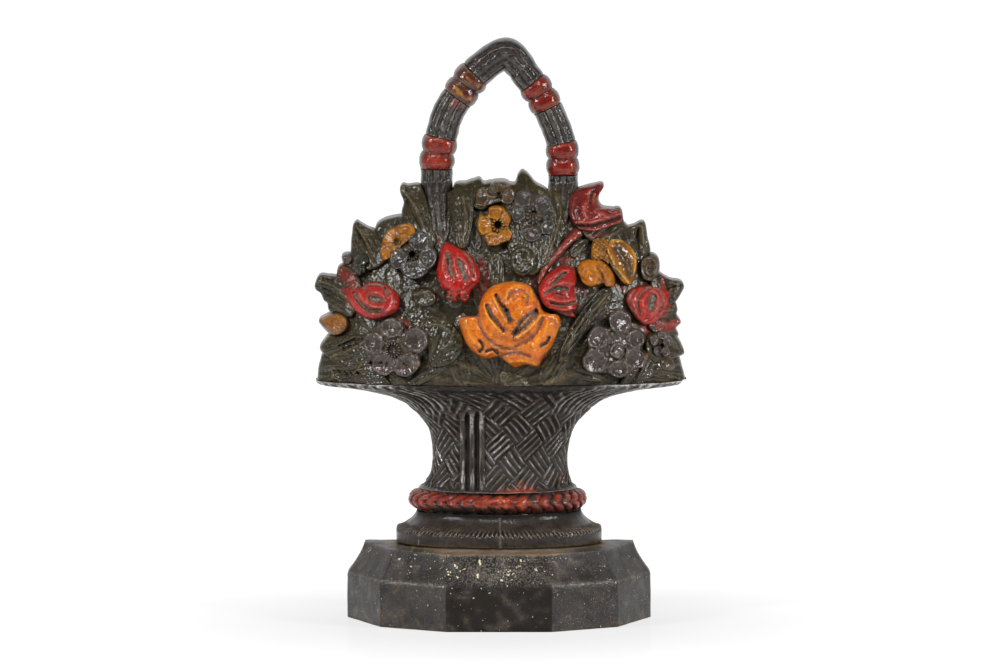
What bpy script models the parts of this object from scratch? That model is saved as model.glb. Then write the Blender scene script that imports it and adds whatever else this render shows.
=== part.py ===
"""Cast-iron flower-basket doorstop: a hollow, flat-backed casting, built up from its named forms.

Metres, +Z up. The front faces -Y and the flat, open back faces +Y. The origin is on the floor, in the
middle of the footprint. Sizes ending in _AT are places on the flower bed: a share of its half width
across, and a share of its rise up from the basket's rim.
"""
import math

import bmesh
import bpy
from mathutils import Vector
from mathutils.geometry import delaunay_2d_cdt

# Casting as a whole
BACK_SKIRT = 0.010          # straight run behind the widest points of every moulding
WALL = 0.005                # thickness of the iron
SEAT_GAP = 0.0003           # clearance between pieces that seat on or beside each other

# Plinth: half of a ten-sided block, cut flat behind
PLINTH_HALF_WIDTH = 0.0579
PLINTH_SIDE_X = 0.0452
PLINTH_SIDE_DEPTH = 0.0339
PLINTH_FRONT_X = 0.0201
PLINTH_DEPTH = 0.0515       # front face, ahead of the widest points
PLINTH_WALL_HEIGHT = 0.0173
PLINTH_HEIGHT = 0.0288
PLINTH_SETBACK = 0.0062     # how far the hollow-curved chamfer draws the top in
PLINTH_CHAMFER_HOLLOW = 0.0008

# Foot moulding
FOOT_HALF_WIDTH = 0.0392
FOOT_DEPTH = 0.0305
FOOT_BAND_HEIGHT = 0.0068
FOOT_COVE_HEIGHT = 0.0051
FOOT_COVE_SETBACK = 0.0079
FOOT_BAND_LIP = 0.0007

# Rope moulding
ROPE_HALF_WIDTH = 0.0343
ROPE_DEPTH = 0.0256
ROPE_THICKNESS = 0.0082

# Basket: heights above its seat, half widths and depths of its outer face
BASKET_SEAT_HALF_WIDTH = 0.0314
BASKET_WAIST_HALF_WIDTH = 0.0261
BASKET_WAIST_HEIGHT = 0.0126
BASKET_WAIST_DEPTH = 0.0188
BASKET_SEAT_DEPTH = 0.0230
BASKET_RIM_HALF_WIDTH = 0.0700
BASKET_RIM_SHIFT = 0.0007   # the casting's rim sits a little to the right
BASKET_RIM_DEPTH = 0.0293
BASKET_RIM_BAND = 0.0020
BASKET_HEIGHT = 0.0412
BASKET_SLOW_FLARE = (0.45, 2.4)     # share of the spread, and how late it comes
BASKET_LIP_FLARE = (0.55, 14)
BASKET_DEPTH_FLARE = 2.4
BASKET_HOLLOW_LEVELS = (1.0, 0.93, 0.84, 0.7, 0.5, 0.3, 0.12, 0.0)

# Carving on the basket's face: woven cells that lean left and right in turn, and three upright canes
WEAVE_CELL = 0.0073
WEAVE_LEAN = (0.74, 0.67)       # share of the way round and of the height in a cell's direction
WEAVE_START = (0.0015, 0.0005)
WEAVE_DEPTH = 0.0003            # at the middle of a cell
WEAVE_SEAM = 0.0005             # deeper still along its long sides
WEAVE_MARGIN = 0.0025
FACE_CANES = (-0.0144, -0.0109, -0.0070)
FACE_CANE_HALF_WIDTH = 0.0011
FACE_CANE_VALLEY = 0.0008
FACE_CANE_REACH = 0.0024
BASKET_FACE_LEVELS = 26
BASKET_FACE_POINTS = 92

# Flower bed: the domed shell that carries leaves and flowers
BED_RIM_LEDGE = 0.0040      # rim of the basket that shows outside the bed
BED_HALF_WIDTH = BASKET_RIM_HALF_WIDTH - BED_RIM_LEDGE
BED_RISE = 0.0750
BED_DOME_DEPTH = 0.0280     # crown of the dome, ahead of the widest points
BED_DOME_SPREAD = 1.07      # the dome runs out past the bed's own edge by this factor
BED_DOME_POWER = 2.7
BED_LATTICE = 0.0052

# Leaves and flowers in common
EDGE_RISE = 0.0013          # how proud a form's own edge stands
LEAF_CROWN = 0.0020
LEAF_EDGE_ROUND = 0.0012
LEAF_FOOT = 0.16            # where along a full leaf shape its foot is cut off
LEAF_FULLNESS = 0.9         # exponent of the sides: below one swells them
PETAL_CROWN = 0.0026
EYE_CROWN = 0.0036
HUB_CROWN = 0.0012          # the ground that a flower's petals grow from
HUB_SHARE = 0.85

# Rose: each outer petal is (angle in degrees, reach, half length, half width)
ROSE_AT = (0.064, 0.352)
ROSE_RADIUS = 0.0120
ROSE_CROWN = 0.0082
ROSE_PETAL_CROWN = 0.0046
ROSE_PETALS = ((-153, 0.0162, 0.0058, 0.0048), (-118, 0.0154, 0.0054, 0.0044), (-77, 0.0152, 0.0080, 0.0053),
               (-25, 0.0160, 0.0092, 0.0042), (176, 0.0110, 0.0058, 0.0046))

# Red rosebuds
BUD_LEFT_AT = (-0.728, 0.428)
BUD_LEFT_LENGTH = 0.0212
BUD_LEFT_WIDTH = 0.0150
BUD_MIDDLE_AT = (-0.245, 0.575)
BUD_MIDDLE_LENGTH = 0.0200
BUD_MIDDLE_WIDTH = 0.0156
BUD_RIGHT_AT = (0.860, 0.400)
BUD_RIGHT_LENGTH = 0.0166
BUD_RIGHT_WIDTH = 0.0146
BUD_LEFT_TILT = 168
BUD_MIDDLE_TILT = 104
BUD_RIGHT_TILT = 40
BUD_CROWN = 0.0056
BUD_BODY_SHARES = (-0.10, 0.40, 0.50, 1.0)  # reach, half length, half width and crown of a bud's body
BUD_TIP_SHARES = (0.26, 0.30, 0.26, 0.72)

# Tulips
TULIP_AT = (0.500, 0.868)
TULIP_BODY = (0.0070, 0.0060)       # half length and half width
TULIP_TILT = 50
TULIP_TALL_TIP = (0.0068, 0.0054, 0.0029, 57)   # reach, half length, half width and direction
TULIP_LOW_TIP = (0.0078, 0.0060, 0.0036, 4)
TULIP_CROWN = 0.0048
TULIP_TIP_CROWN = 0.0038
TULIP_STEM_END_AT = (0.265, 0.622)
TULIP_STEM_WIDTH = 0.0030
TULIP_STEM_RISE = 0.0018
TULIP_BUD_AT = (0.350, 0.474)
TULIP_BUD_LENGTH = 0.0190
TULIP_BUD_WIDTH = 0.0140
TULIP_BUD_TILT = 60

# Open flowers: each petal is (angle in degrees, reach, radius)
YELLOW_LEFT_AT = (-0.600, 0.712)
PANSY_AT = (-0.486, 0.663)
YELLOW_TOP_AT = (-0.006, 0.805)
BROWN_TOP_AT = (-0.035, 0.924)
GREY_TOP_AT = (0.202, 0.844)
GREY_LEFT_AT = (-0.611, 0.175)
GREY_RIGHT_AT = (0.680, 0.173)
GREY_SMALL_AT = (0.932, 0.183)
YELLOW_LEFT_PETALS = ((150, 0.0044, 0.0036), (100, 0.0044, 0.0038), (50, 0.0048, 0.0036),
                      (210, 0.0040, 0.0034))
PANSY_PETALS = ((95, 0.0048, 0.0040), (20, 0.0052, 0.0039), (-50, 0.0050, 0.0040), (-125, 0.0052, 0.0040),
                (165, 0.0054, 0.0038))
YELLOW_TOP_PETALS = ((100, 0.0046, 0.0034), (30, 0.0042, 0.0034), (-45, 0.0046, 0.0035),
                     (-115, 0.0056, 0.0036),
                     (180, 0.0056, 0.0033))
BROWN_TOP_PETALS = ((176, 0.0052, 0.0034), (15, 0.0036, 0.0050))
GREY_TOP_PETALS = ((115, 0.0082, 0.0037), (48, 0.0066, 0.0038), (-38, 0.0070, 0.0031),
                   (-100, 0.0074, 0.0034),
                   (172, 0.0056, 0.0036))
GREY_LEFT_PETALS = ((160, 0.0064, 0.0043), (105, 0.0066, 0.0042), (30, 0.0080, 0.0044),
                    (-48, 0.0082, 0.0045),
                    (-125, 0.0072, 0.0046), (0, 0.0088, 0.0036))
GREY_RIGHT_PETALS = ((85, 0.0104, 0.0042), (148, 0.0100, 0.0042), (23, 0.0074, 0.0036),
                     (-154, 0.0098, 0.0045),
                     (-43, 0.0074, 0.0042), (-100, 0.0080, 0.0036))
GREY_SMALL_PETALS = ((115, 0.0036, 0.0023), (25, 0.0034, 0.0022), (-65, 0.0034, 0.0023),
                     (200, 0.0038, 0.0024))
EYE_RADIUS = 0.0030
PANSY_EYE_RADIUS = 0.0024
SMALL_EYE_RADIUS = 0.0016

# Trumpet flower
GLOBE_AT = (0.558, 0.565)
GLOBE_RADIUS = 0.0066
GLOBE_CROWN = 0.0056
GLOBE_LOBES = (150, 30, 270)
GLOBE_LOBE_SHARE = 0.72
NECK_AT = (0.600, 0.672)
NECK_HALF_LENGTH = 0.0040
NECK_HALF_WIDTH = 0.0036
NECK_TILT = 50
NECK_CROWN = 0.0034
DISH_AT = (0.704, 0.628)
DISH_LENGTH = 0.0160
DISH_WIDTH = 0.0100
DISH_TILT = -58
DISH_CROWN = 0.0030

# Small buds
OCHRE_BUD_AT = (-0.952, 0.292)
OCHRE_BUD_HALF_LENGTH = 0.0053
OCHRE_BUD_HALF_WIDTH = 0.0041
OCHRE_BUD_TILT = 10
GREEN_BUD_AT = (-0.794, 0.603)
GREEN_BUD_RADIUS = 0.0036
GREY_BUD_AT = (-0.868, 0.628)
GREY_BUD_RADIUS = 0.0030
CURL_BUD_AT = (0.880, 0.590)
CURL_BUD_RADIUS = 0.0042
SMALL_BUD_AT = (0.978, 0.088)
SMALL_BUD_RADIUS = 0.0034
SMALL_BUD_CROWN = 0.0034

# Leaves: foot, tip and width; an edge leaf reaches past the bed to the outline
LEAF_TALL = ((-0.360, 0.700), (-0.568, 1.004), 0.0150)
LEAF_LEFT_TIP = ((-0.640, 0.580), (-0.820, 0.806), 0.0170)
LEAF_ROUND = ((-0.500, 0.640), (-0.625, 0.838), 0.0200)
LEAF_FAR_LEFT = ((-0.700, 0.360), (-1.071, 0.500), 0.0180)
LEAF_LOW_LEFT = ((-0.640, 0.050), (-1.042, 0.180), 0.0200)
LEAF_CORNER_LEFT = ((-0.780, 0.020), (-1.052, 0.034), 0.0130)
LEAF_STEM_SIDE = ((-0.160, 0.650), (-0.215, 0.992), 0.0110)
LEAF_TOP = ((-0.100, 0.900), (-0.120, 1.022), 0.0120)
LEAF_TOP_MIDDLE = ((0.150, 0.800), (0.128, 1.058), 0.0170)
LEAF_BESIDE_GREY = ((0.285, 0.620), (0.340, 0.920), 0.0090)
LEAF_BEHIND_TULIP = ((0.480, 0.680), (0.640, 0.850), 0.0190)
LEAF_RIGHT_TIP = ((0.640, 0.600), (0.826, 0.806), 0.0180)
LEAF_FAR_RIGHT = ((0.820, 0.420), (1.068, 0.475), 0.0170)
LEAF_RIGHT_MIDDLE = ((0.800, 0.280), (1.052, 0.292), 0.0160)
LEAF_LOW_RIGHT = ((0.880, 0.150), (1.070, 0.132), 0.0130)
LEAF_INNER_RIGHT = ((0.860, 0.020), (0.780, 0.280), 0.0120)
LEAF_CORNER_RIGHT = ((0.800, 0.020), (1.070, 0.034), 0.0130)
LEAF_FOLDED = ((-0.300, 0.140), (-0.560, 0.330), 0.0150)
LEAF_UNDER_TRUMPET = ((0.340, 0.190), (0.630, 0.450), 0.0085)
LEAF_DARK = ((0.370, 0.640), (0.500, 0.720), 0.0055)
OVAL_LEFT_AT = (-0.430, 0.448)
OVAL_LEFT_SIZE = (0.0100, 0.0074)
OVAL_LEFT_TILT = -20
OVAL_MIDDLE_AT = (0.132, 0.635)
OVAL_MIDDLE_SIZE = (0.0108, 0.0120)

# Handle: points of each cane's centre line, as (x, height above the rim)
LEFT_CANE_WIDTH = 0.0118
RIGHT_CANE_WIDTH = 0.0105
CANE_THICKNESS = 0.0125
CANE_REEDS = 4
CANE_REED_DEPTH = 0.0007
STEM_RISE = 0.0025
BINDING_SWELL = 0.0011
BINDING_RINGS = 2
CANE_SQUARENESS = 0.60      # exponent of the section: below one fills its corners out
STEM_TAPER = 0.28
LEFT_CANE = ((-0.0217, 0.0535), (-0.0232, 0.0670), (-0.0238, 0.0802), (-0.0228, 0.0890), (-0.0196, 0.1010),
             (-0.0147, 0.1090), (-0.0102, 0.1150), (-0.0036, 0.1208), (0.0030, 0.1247), (0.0084, 0.1212))
RIGHT_CANE = ((0.0233, 0.0600), (0.0243, 0.0700), (0.0244, 0.0790), (0.0236, 0.0905), (0.0187, 0.1030),
              (0.0145, 0.1105), (0.0090, 0.1178), (0.0062, 0.1212))
LEFT_LENGTHS = (0.0268, 0.0126, 0.0160, 0.0118)     # stem, lower binding, middle, upper binding
RIGHT_LENGTHS = (0.0180, 0.0126, 0.0138, 0.0118)

# Places that follow from the sizes above
BACK_Y = (PLINTH_DEPTH + BACK_SKIRT) / 2
WIDE_Y = BACK_Y - BACK_SKIRT
FOOT_Z = PLINTH_HEIGHT + SEAT_GAP
FOOT_HEIGHT = FOOT_BAND_HEIGHT + FOOT_COVE_HEIGHT
ROPE_Z = FOOT_Z + FOOT_HEIGHT + SEAT_GAP
BASKET_Z = ROPE_Z + ROPE_THICKNESS + SEAT_GAP
RIM_Z = BASKET_Z + BASKET_HEIGHT
BED_Z = RIM_Z + SEAT_GAP

# Fineness of the meshes
FACE_STEPS = 5
ARC_STEPS = 8
ROUND_POINTS = 18
LEAF_POINTS = 9
CANE_STEP = 0.0030
STRIP_STEP = 0.0045
PATH_STEP = 0.0002
PATH_PARTS = 24
PLATE_RING = 0.0011
PLATE_PITCH = 0.0045
BLOSSOM_PITCH = 0.0026
ROSE_PITCH = 0.0034
OUTLINE_STEP = 0.0035
MERGE = 0.00001


# Scene and materials

def clear_scene():
    for item in list(bpy.data.objects):
        bpy.data.objects.remove(item, do_unlink=True)


def paint(name, colour, roughness=0.45, metallic=0.0):
    material = bpy.data.materials.get(name)
    if material:
        return material
    material = bpy.data.materials.new(name)
    material.use_nodes = True
    shader = material.node_tree.nodes["Principled BSDF"]
    shader.inputs["Base Color"].default_value = (*colour, 1.0)
    shader.inputs["Roughness"].default_value = roughness
    shader.inputs["Metallic"].default_value = metallic
    return material


def black_iron():
    return paint("black_brown_iron", (0.028, 0.022, 0.019), 0.5, 0.4)


def rope_red():
    return paint("dull_red_paint", (0.30, 0.02, 0.012))


def bright_red():
    return paint("bright_red_paint", (0.50, 0.025, 0.015))


def orange():
    return paint("orange_paint", (0.62, 0.19, 0.01))


def ochre():
    return paint("ochre_paint", (0.48, 0.20, 0.01))


def grey_mauve():
    return paint("grey_mauve_paint", (0.085, 0.068, 0.066))


def olive():
    return paint("olive_green_paint", (0.050, 0.047, 0.026))


def make_object(name, mesh, material):
    item = bpy.data.objects.new(name, mesh)
    bpy.context.scene.collection.objects.link(item)
    mesh.materials.append(material)
    mesh.shade_smooth()
    mesh.set_sharp_from_angle(angle=math.radians(50))
    return item


def finish_mesh(name, bm):
    bmesh.ops.recalc_face_normals(bm, faces=bm.faces[:])
    if bm.calc_volume(signed=True) < 0:
        bmesh.ops.reverse_faces(bm, faces=bm.faces[:])
    mesh = bpy.data.meshes.new(name)
    bm.to_mesh(mesh)
    bm.free()
    return mesh


# Mouldings: a closed wall profile carried round the half plan, with flat ends at the back

def ellipse_plan(half_width, depth, count, shift=0.0):
    arc = count - 3
    points = [(shift + half_width, BACK_Y)]
    for step in range(arc + 1):
        angle = math.pi * step / arc
        points.append((shift + half_width * math.cos(angle), WIDE_Y - depth * math.sin(angle)))
    points.append((shift - half_width, BACK_Y))
    return points


def plinth_corners(setback):
    """The plinth's plan, drawn in by the same distance from every face."""
    outer = [(PLINTH_HALF_WIDTH, 0.0), (PLINTH_SIDE_X, PLINTH_SIDE_DEPTH), (PLINTH_FRONT_X, PLINTH_DEPTH),
             (-PLINTH_FRONT_X, PLINTH_DEPTH)]
    lines = []
    for (x0, d0), (x1, d1) in zip(outer, outer[1:]):
        length = math.hypot(x1 - x0, d1 - d0)
        nx = (d1 - d0) / length
        nd = (x0 - x1) / length
        lines.append((nx, nd, nx * x0 + nd * d0 - setback))
    corners = [(lines[0][2] / lines[0][0], 0.0)]
    for (a, b, c), (d, e, f) in zip(lines, lines[1:]):
        det = a * e - b * d
        corners.append(((c * e - b * f) / det, (a * f - c * d) / det))
    return corners + [(-x, d) for x, d in reversed(corners)]


def plinth_plan(setback):
    corners = plinth_corners(setback)
    points = [(corners[0][0], BACK_Y)]
    for (x0, d0), (x1, d1) in zip(corners, corners[1:]):
        for step in range(FACE_STEPS):
            share = step / FACE_STEPS
            points.append((x0 + (x1 - x0) * share, WIDE_Y - d0 - (d1 - d0) * share))
    points.append((corners[-1][0], WIDE_Y))
    points.append((corners[-1][0], BACK_Y))
    return points


def plan_count():
    return len(plinth_plan(0.0))


def swept_shell(name, levels, material):
    """levels is the closed wall profile, one (z, plan points) after another."""
    bm = bmesh.new()
    loops = [[bm.verts.new((x, y, z)) for x, y in plan] for z, plan in levels]
    rounds = len(loops)
    for level in range(rounds):
        lower = loops[level]
        upper = loops[(level + 1) % rounds]
        for place in range(len(lower) - 1):
            bm.faces.new((lower[place], lower[place + 1], upper[place + 1], upper[place]))
    bm.faces.new([loop[0] for loop in loops])
    bm.faces.new([loop[-1] for loop in reversed(loops)])
    return make_object(name, finish_mesh(name, bm), material)


def plinth():
    count = plan_count()
    hollow = PLINTH_CHAMFER_HOLLOW
    rise = PLINTH_HEIGHT - PLINTH_WALL_HEIGHT
    levels = [(0.0, plinth_plan(0.0)), (PLINTH_WALL_HEIGHT, plinth_plan(0.0))]
    for share in (1 / 3, 2 / 3):
        draw = PLINTH_SETBACK * share + hollow
        levels.append((PLINTH_WALL_HEIGHT + rise * share, plinth_plan(draw)))
    levels.append((PLINTH_HEIGHT, plinth_plan(PLINTH_SETBACK)))
    inner_width = FOOT_HALF_WIDTH - WALL
    inner_depth = FOOT_DEPTH - WALL
    levels.append((PLINTH_HEIGHT, ellipse_plan(inner_width, inner_depth, count)))
    levels.append((PLINTH_HEIGHT - WALL, ellipse_plan(inner_width, inner_depth, count)))
    levels.append((PLINTH_HEIGHT - WALL, plinth_plan(PLINTH_SETBACK + WALL)))
    levels.append((0.0, plinth_plan(WALL)))
    return swept_shell("plinth", levels, black_iron())


def foot_moulding():
    count = plan_count()
    cove = 3
    levels = []
    outer = [(0.0, 0.0), (FOOT_BAND_HEIGHT, 0.0), (FOOT_BAND_HEIGHT, FOOT_BAND_LIP)]
    for step in range(1, cove + 1):
        turn = math.pi / 2 * step / cove
        height = FOOT_BAND_HEIGHT + FOOT_COVE_HEIGHT * (1 - math.cos(turn))
        draw = FOOT_BAND_LIP + (FOOT_COVE_SETBACK - FOOT_BAND_LIP) * math.sin(turn)
        outer.append((height, draw))
    for height, draw in outer:
        levels.append((FOOT_Z + height, ellipse_plan(FOOT_HALF_WIDTH - draw, FOOT_DEPTH - draw, count)))
    top_draw = FOOT_COVE_SETBACK + WALL
    inner_top = ellipse_plan(FOOT_HALF_WIDTH - top_draw, FOOT_DEPTH - top_draw, count)
    levels.append((FOOT_Z + FOOT_HEIGHT, inner_top))
    levels.append((FOOT_Z, ellipse_plan(FOOT_HALF_WIDTH - WALL, FOOT_DEPTH - WALL, count)))
    return swept_shell("foot_moulding", levels, black_iron())


def rope_moulding():
    count = plan_count()
    radius = ROPE_THICKNESS / 2
    steps = 6
    levels = []
    for step in range(steps + 1):
        turn = math.pi * (step / steps - 0.5)
        draw = radius * (1 - math.cos(turn))
        height = ROPE_Z + radius * (1 + math.sin(turn))
        levels.append((height, ellipse_plan(ROPE_HALF_WIDTH - draw, ROPE_DEPTH - draw, count)))
    inner = ellipse_plan(ROPE_HALF_WIDTH - radius - WALL, ROPE_DEPTH - radius - WALL, count)
    levels.append((ROPE_Z + ROPE_THICKNESS, inner))
    levels.append((ROPE_Z, inner))
    return swept_shell("rope_moulding", levels, rope_red())


def basket_section(height):
    """Outer half width and depth of the basket at a height above its seat."""
    waist = BASKET_WAIST_HEIGHT
    band = BASKET_HEIGHT - BASKET_RIM_BAND
    if height <= waist:
        share = math.sqrt(max(0.0, 1 - (1 - height / waist) ** 2))
        width = BASKET_SEAT_HALF_WIDTH + (BASKET_WAIST_HALF_WIDTH - BASKET_SEAT_HALF_WIDTH) * share
        depth = BASKET_SEAT_DEPTH + (BASKET_WAIST_DEPTH - BASKET_SEAT_DEPTH) * share
        return width, depth
    share = min(1.0, (height - waist) / (band - waist))
    flare = sum(part * share ** late for part, late in (BASKET_SLOW_FLARE, BASKET_LIP_FLARE))
    width = BASKET_WAIST_HALF_WIDTH + (BASKET_RIM_HALF_WIDTH - BASKET_WAIST_HALF_WIDTH) * flare
    depth = BASKET_WAIST_DEPTH + (BASKET_RIM_DEPTH - BASKET_WAIST_DEPTH) * share ** BASKET_DEPTH_FLARE
    return width, depth


def rim_shift(width):
    """How far a section stands to the right: nothing at the waist, the full shift at the rim."""
    spread = BASKET_RIM_HALF_WIDTH - BASKET_WAIST_HALF_WIDTH
    return BASKET_RIM_SHIFT * (width - BASKET_WAIST_HALF_WIDTH) / spread


def basket_plan(height, section, count):
    width, depth = section(height)
    return BASKET_Z + height, ellipse_plan(width, depth, count, max(0.0, rim_shift(width)))


def basket_carving(way, height):
    """How deep the weave and the canes are cut, at a distance round the waist from the front's middle."""
    below_band = BASKET_HEIGHT - BASKET_RIM_BAND - height
    fade = max(0.0, min(1.0, height / WEAVE_MARGIN, below_band / WEAVE_MARGIN))
    nearest = min(abs(way - place) for place in FACE_CANES)
    if nearest < FACE_CANE_REACH:
        return fade * FACE_CANE_VALLEY * (1 - math.exp(-(nearest / FACE_CANE_HALF_WIDTH) ** 4))
    lean_way, lean_height = WEAVE_LEAN
    first = (way * lean_way + height * lean_height + WEAVE_START[0]) / WEAVE_CELL
    second = (-way * lean_way + height * lean_height + WEAVE_START[1]) / WEAVE_CELL
    turns_right = (math.floor(first) + math.floor(second)) % 2 == 1
    across = second if turns_right else first
    cushion = math.sqrt(abs(math.sin(math.pi * across)))
    return fade * (WEAVE_DEPTH + WEAVE_SEAM * (1 - cushion))


def basket_face(height):
    """The outer plan at a height, with the carving cut into it."""
    width, depth = basket_section(height)
    shift = max(0.0, rim_shift(width))
    waist = ellipse_plan(BASKET_WAIST_HALF_WIDTH, BASKET_WAIST_DEPTH, BASKET_FACE_POINTS)
    travelled = [0.0]
    for start, end in zip(waist, waist[1:]):
        travelled.append(travelled[-1] + math.dist(start, end))
    middle = travelled[-1] / 2
    points = ellipse_plan(width, depth, BASKET_FACE_POINTS, shift)
    inner = ellipse_plan(width - WALL, depth - WALL, BASKET_FACE_POINTS, shift)
    carved = []
    for point, inward, way in zip(points, inner, travelled):
        share = basket_carving(middle - way, height) / WALL if point[1] < WIDE_Y else 0.0
        carved.append((point[0] + (inward[0] - point[0]) * share, point[1] + (inward[1] - point[1]) * share))
    return BASKET_Z + height, carved


def basket_hollow(height):
    """Inner half width and depth: every point lies one wall inside the outer face."""
    samples = 16
    width = math.inf
    depth = math.inf
    for step in range(samples + 1):
        drop = WALL * (2 * step / samples - 1)
        level = height + drop
        if 0 <= level <= BASKET_HEIGHT:
            outer = basket_section(level)
            inset = math.sqrt(max(0.0, WALL ** 2 - drop ** 2))
            width = min(width, outer[0] - inset)
            depth = min(depth, outer[1] - inset)
    return width, depth


def basket_body():
    band = BASKET_HEIGHT - BASKET_RIM_BAND
    heights = [band * (step / BASKET_FACE_LEVELS) for step in range(BASKET_FACE_LEVELS + 1)]
    levels = [basket_face(height) for height in heights + [BASKET_HEIGHT]]
    for share in BASKET_HOLLOW_LEVELS:
        levels.append(basket_plan(BASKET_HEIGHT * share, basket_hollow, BASKET_FACE_POINTS))
    return swept_shell("basket_body", levels, black_iron())


# Flower bed and the places on it

def spot(place):
    return place[0] * BED_HALF_WIDTH, BED_Z + place[1] * BED_RISE


def bed_y(x, z):
    """Front of the bed: a dome that runs out to the line of the widest points."""
    across = x / (BED_HALF_WIDTH * BED_DOME_SPREAD)
    up = (z - BED_Z) / (BED_RISE * BED_DOME_SPREAD)
    reach = math.hypot(across, up)
    return WIDE_Y - BED_DOME_DEPTH * (1 - min(reach, 1.0) ** BED_DOME_POWER)


def bed_outline(grow=0.0, foot=0.0):
    """Half an ellipse; grow moves its curve out, and foot lowers its straight edge."""
    steps = ARC_STEPS * 4
    points = []
    for step in range(steps + 1):
        angle = math.pi * step / steps
        x = (BED_HALF_WIDTH + grow) * math.cos(angle)
        z = BED_Z + (BED_RISE + grow) * math.sin(angle)
        points.append((x, z))
    if foot:
        points.append((points[-1][0], BED_Z - foot))
        points.append((points[0][0], BED_Z - foot))
    return split_long_edges(points)


# Plane outlines

def edges_of(outline):
    return list(zip(outline, outline[1:] + outline[:1]))


def area_of(outline):
    return sum(x0 * z1 - x1 * z0 for (x0, z0), (x1, z1) in edges_of(outline)) / 2


def is_inside(outline, point):
    x, z = point
    crossings = 0
    for (x0, z0), (x1, z1) in edges_of(outline):
        if (z0 > z) != (z1 > z) and x < x0 + (x1 - x0) * (z - z0) / (z1 - z0):
            crossings += 1
    return crossings % 2 == 1


def edge_distance(outline, point):
    nearest = math.inf
    x, z = point
    for (x0, z0), (x1, z1) in edges_of(outline):
        dx = x1 - x0
        dz = z1 - z0
        share = ((x - x0) * dx + (z - z0) * dz) / (dx * dx + dz * dz)
        share = min(1.0, max(0.0, share))
        nearest = min(nearest, math.hypot(x - x0 - share * dx, z - z0 - share * dz))
    return nearest


def grown(outline, distance):
    """The outline moved out, or in where the distance is negative."""
    side = 1 if area_of(outline) > 0 else -1
    points = []
    for before, here, after in zip(outline[-1:] + outline[:-1], outline, outline[1:] + outline[:1]):
        first = Vector((here[0] - before[0], here[1] - before[1])).normalized()
        second = Vector((after[0] - here[0], after[1] - here[1])).normalized()
        normal = Vector((first.y + second.y, -first.x - second.x)) * side
        normal.normalize()
        miter = max(0.5, normal.dot(Vector((first.y, -first.x)) * side))
        shift = distance / miter
        points.append((here[0] + normal.x * shift, here[1] + normal.y * shift))
    return points


def turned(dx, dz, degrees):
    angle = math.radians(degrees)
    return dx * math.cos(angle) - dz * math.sin(angle), dx * math.sin(angle) + dz * math.cos(angle)


def union_outline(centre, lobes, count):
    """Outline of overlapping ellipses, each (dx, dz, radius x, radius z, tilt), seen from the centre."""
    points = []
    for step in range(count):
        angle = 2 * math.pi * step / count
        ux = math.cos(angle)
        uz = math.sin(angle)
        reach = 0.0
        for dx, dz, rx, rz, tilt in lobes:
            px, pz = turned(-dx, -dz, -tilt)
            vx, vz = turned(ux, uz, -tilt)
            a = (vx / rx) ** 2 + (vz / rz) ** 2
            b = 2 * (px * vx / rx ** 2 + pz * vz / rz ** 2)
            c = (px / rx) ** 2 + (pz / rz) ** 2 - 1
            root = b * b - 4 * a * c
            if root >= 0:
                reach = max(reach, (-b + math.sqrt(root)) / (2 * a))
        points.append((centre[0] + ux * reach, centre[1] + uz * reach))
    return points


# Relief solids: a plate over the bed, with a shaped front

def lattice(outline, pitch, margin):
    """Points of one fixed triangular lattice that fall inside an outline."""
    xs = [x for x, z in outline]
    zs = [z for x, z in outline]
    row_height = pitch * math.sqrt(3) / 2
    points = []
    first_row = math.floor((min(zs) - BED_Z) / row_height)
    last_row = math.ceil((max(zs) - BED_Z) / row_height)
    for row in range(first_row, last_row + 1):
        z = BED_Z + row * row_height
        shift = pitch / 2 if row % 2 else 0.0
        for column in range(math.floor(min(xs) / pitch) - 1, math.ceil(max(xs) / pitch) + 1):
            point = (column * pitch + shift, z)
            if is_inside(outline, point) and edge_distance(outline, point) > margin:
                points.append(point)
    return points


def triangles_between(outline, cutters, points):
    """Triangles inside the outline and outside every cutter; only the largest joined group is kept."""
    coords = [Vector(p) for p in outline]
    joins = [(i, (i + 1) % len(outline)) for i in range(len(outline))]
    for cutter in cutters:
        first = len(coords)
        coords += [Vector(p) for p in cutter]
        joins += [(first + i, first + (i + 1) % len(cutter)) for i in range(len(cutter))]
    coords += [Vector(p) for p in points]
    verts, _, faces, _, _, _ = delaunay_2d_cdt(coords, joins, [], 0, MERGE)
    kept = []
    for face in faces:
        middle = (sum(verts[i].x for i in face) / 3, sum(verts[i].y for i in face) / 3)
        if is_inside(outline, middle) and not any(is_inside(cutter, middle) for cutter in cutters):
            kept.append(tuple(face))
    return verts, largest_group(verts, kept)


def largest_group(verts, faces):
    owners = {}
    for index, face in enumerate(faces):
        for a, b in zip(face, face[1:] + face[:1]):
            owners.setdefault(frozenset((a, b)), []).append(index)
    group = [None] * len(faces)
    best = []
    best_area = -1.0
    for start in range(len(faces)):
        if group[start] is not None:
            continue
        stack = [start]
        group[start] = start
        members = []
        while stack:
            here = stack.pop()
            members.append(here)
            face = faces[here]
            for a, b in zip(face, face[1:] + face[:1]):
                for other in owners[frozenset((a, b))]:
                    if group[other] is None:
                        group[other] = start
                        stack.append(other)
        size = sum(abs(area_of([tuple(verts[i]) for i in faces[m]])) for m in members)
        if size > best_area:
            best = [faces[m] for m in members]
            best_area = size
    return best


def rim_loops(faces):
    """The boundary of a group of triangles, as closed loops of vertex indices."""
    directed = {}
    for face in faces:
        for a, b in zip(face, face[1:] + face[:1]):
            directed[(a, b)] = True
    follow = {a: b for a, b in directed if (b, a) not in directed}
    loops = []
    while follow:
        start = next(iter(follow))
        loop = [start]
        here = follow.pop(start)
        while here != start:
            loop.append(here)
            here = follow.pop(here)
        loops.append(loop)
    return loops


def nearest_key(point):
    return round(point[0] / MERGE), round(point[1] / MERGE)


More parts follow.
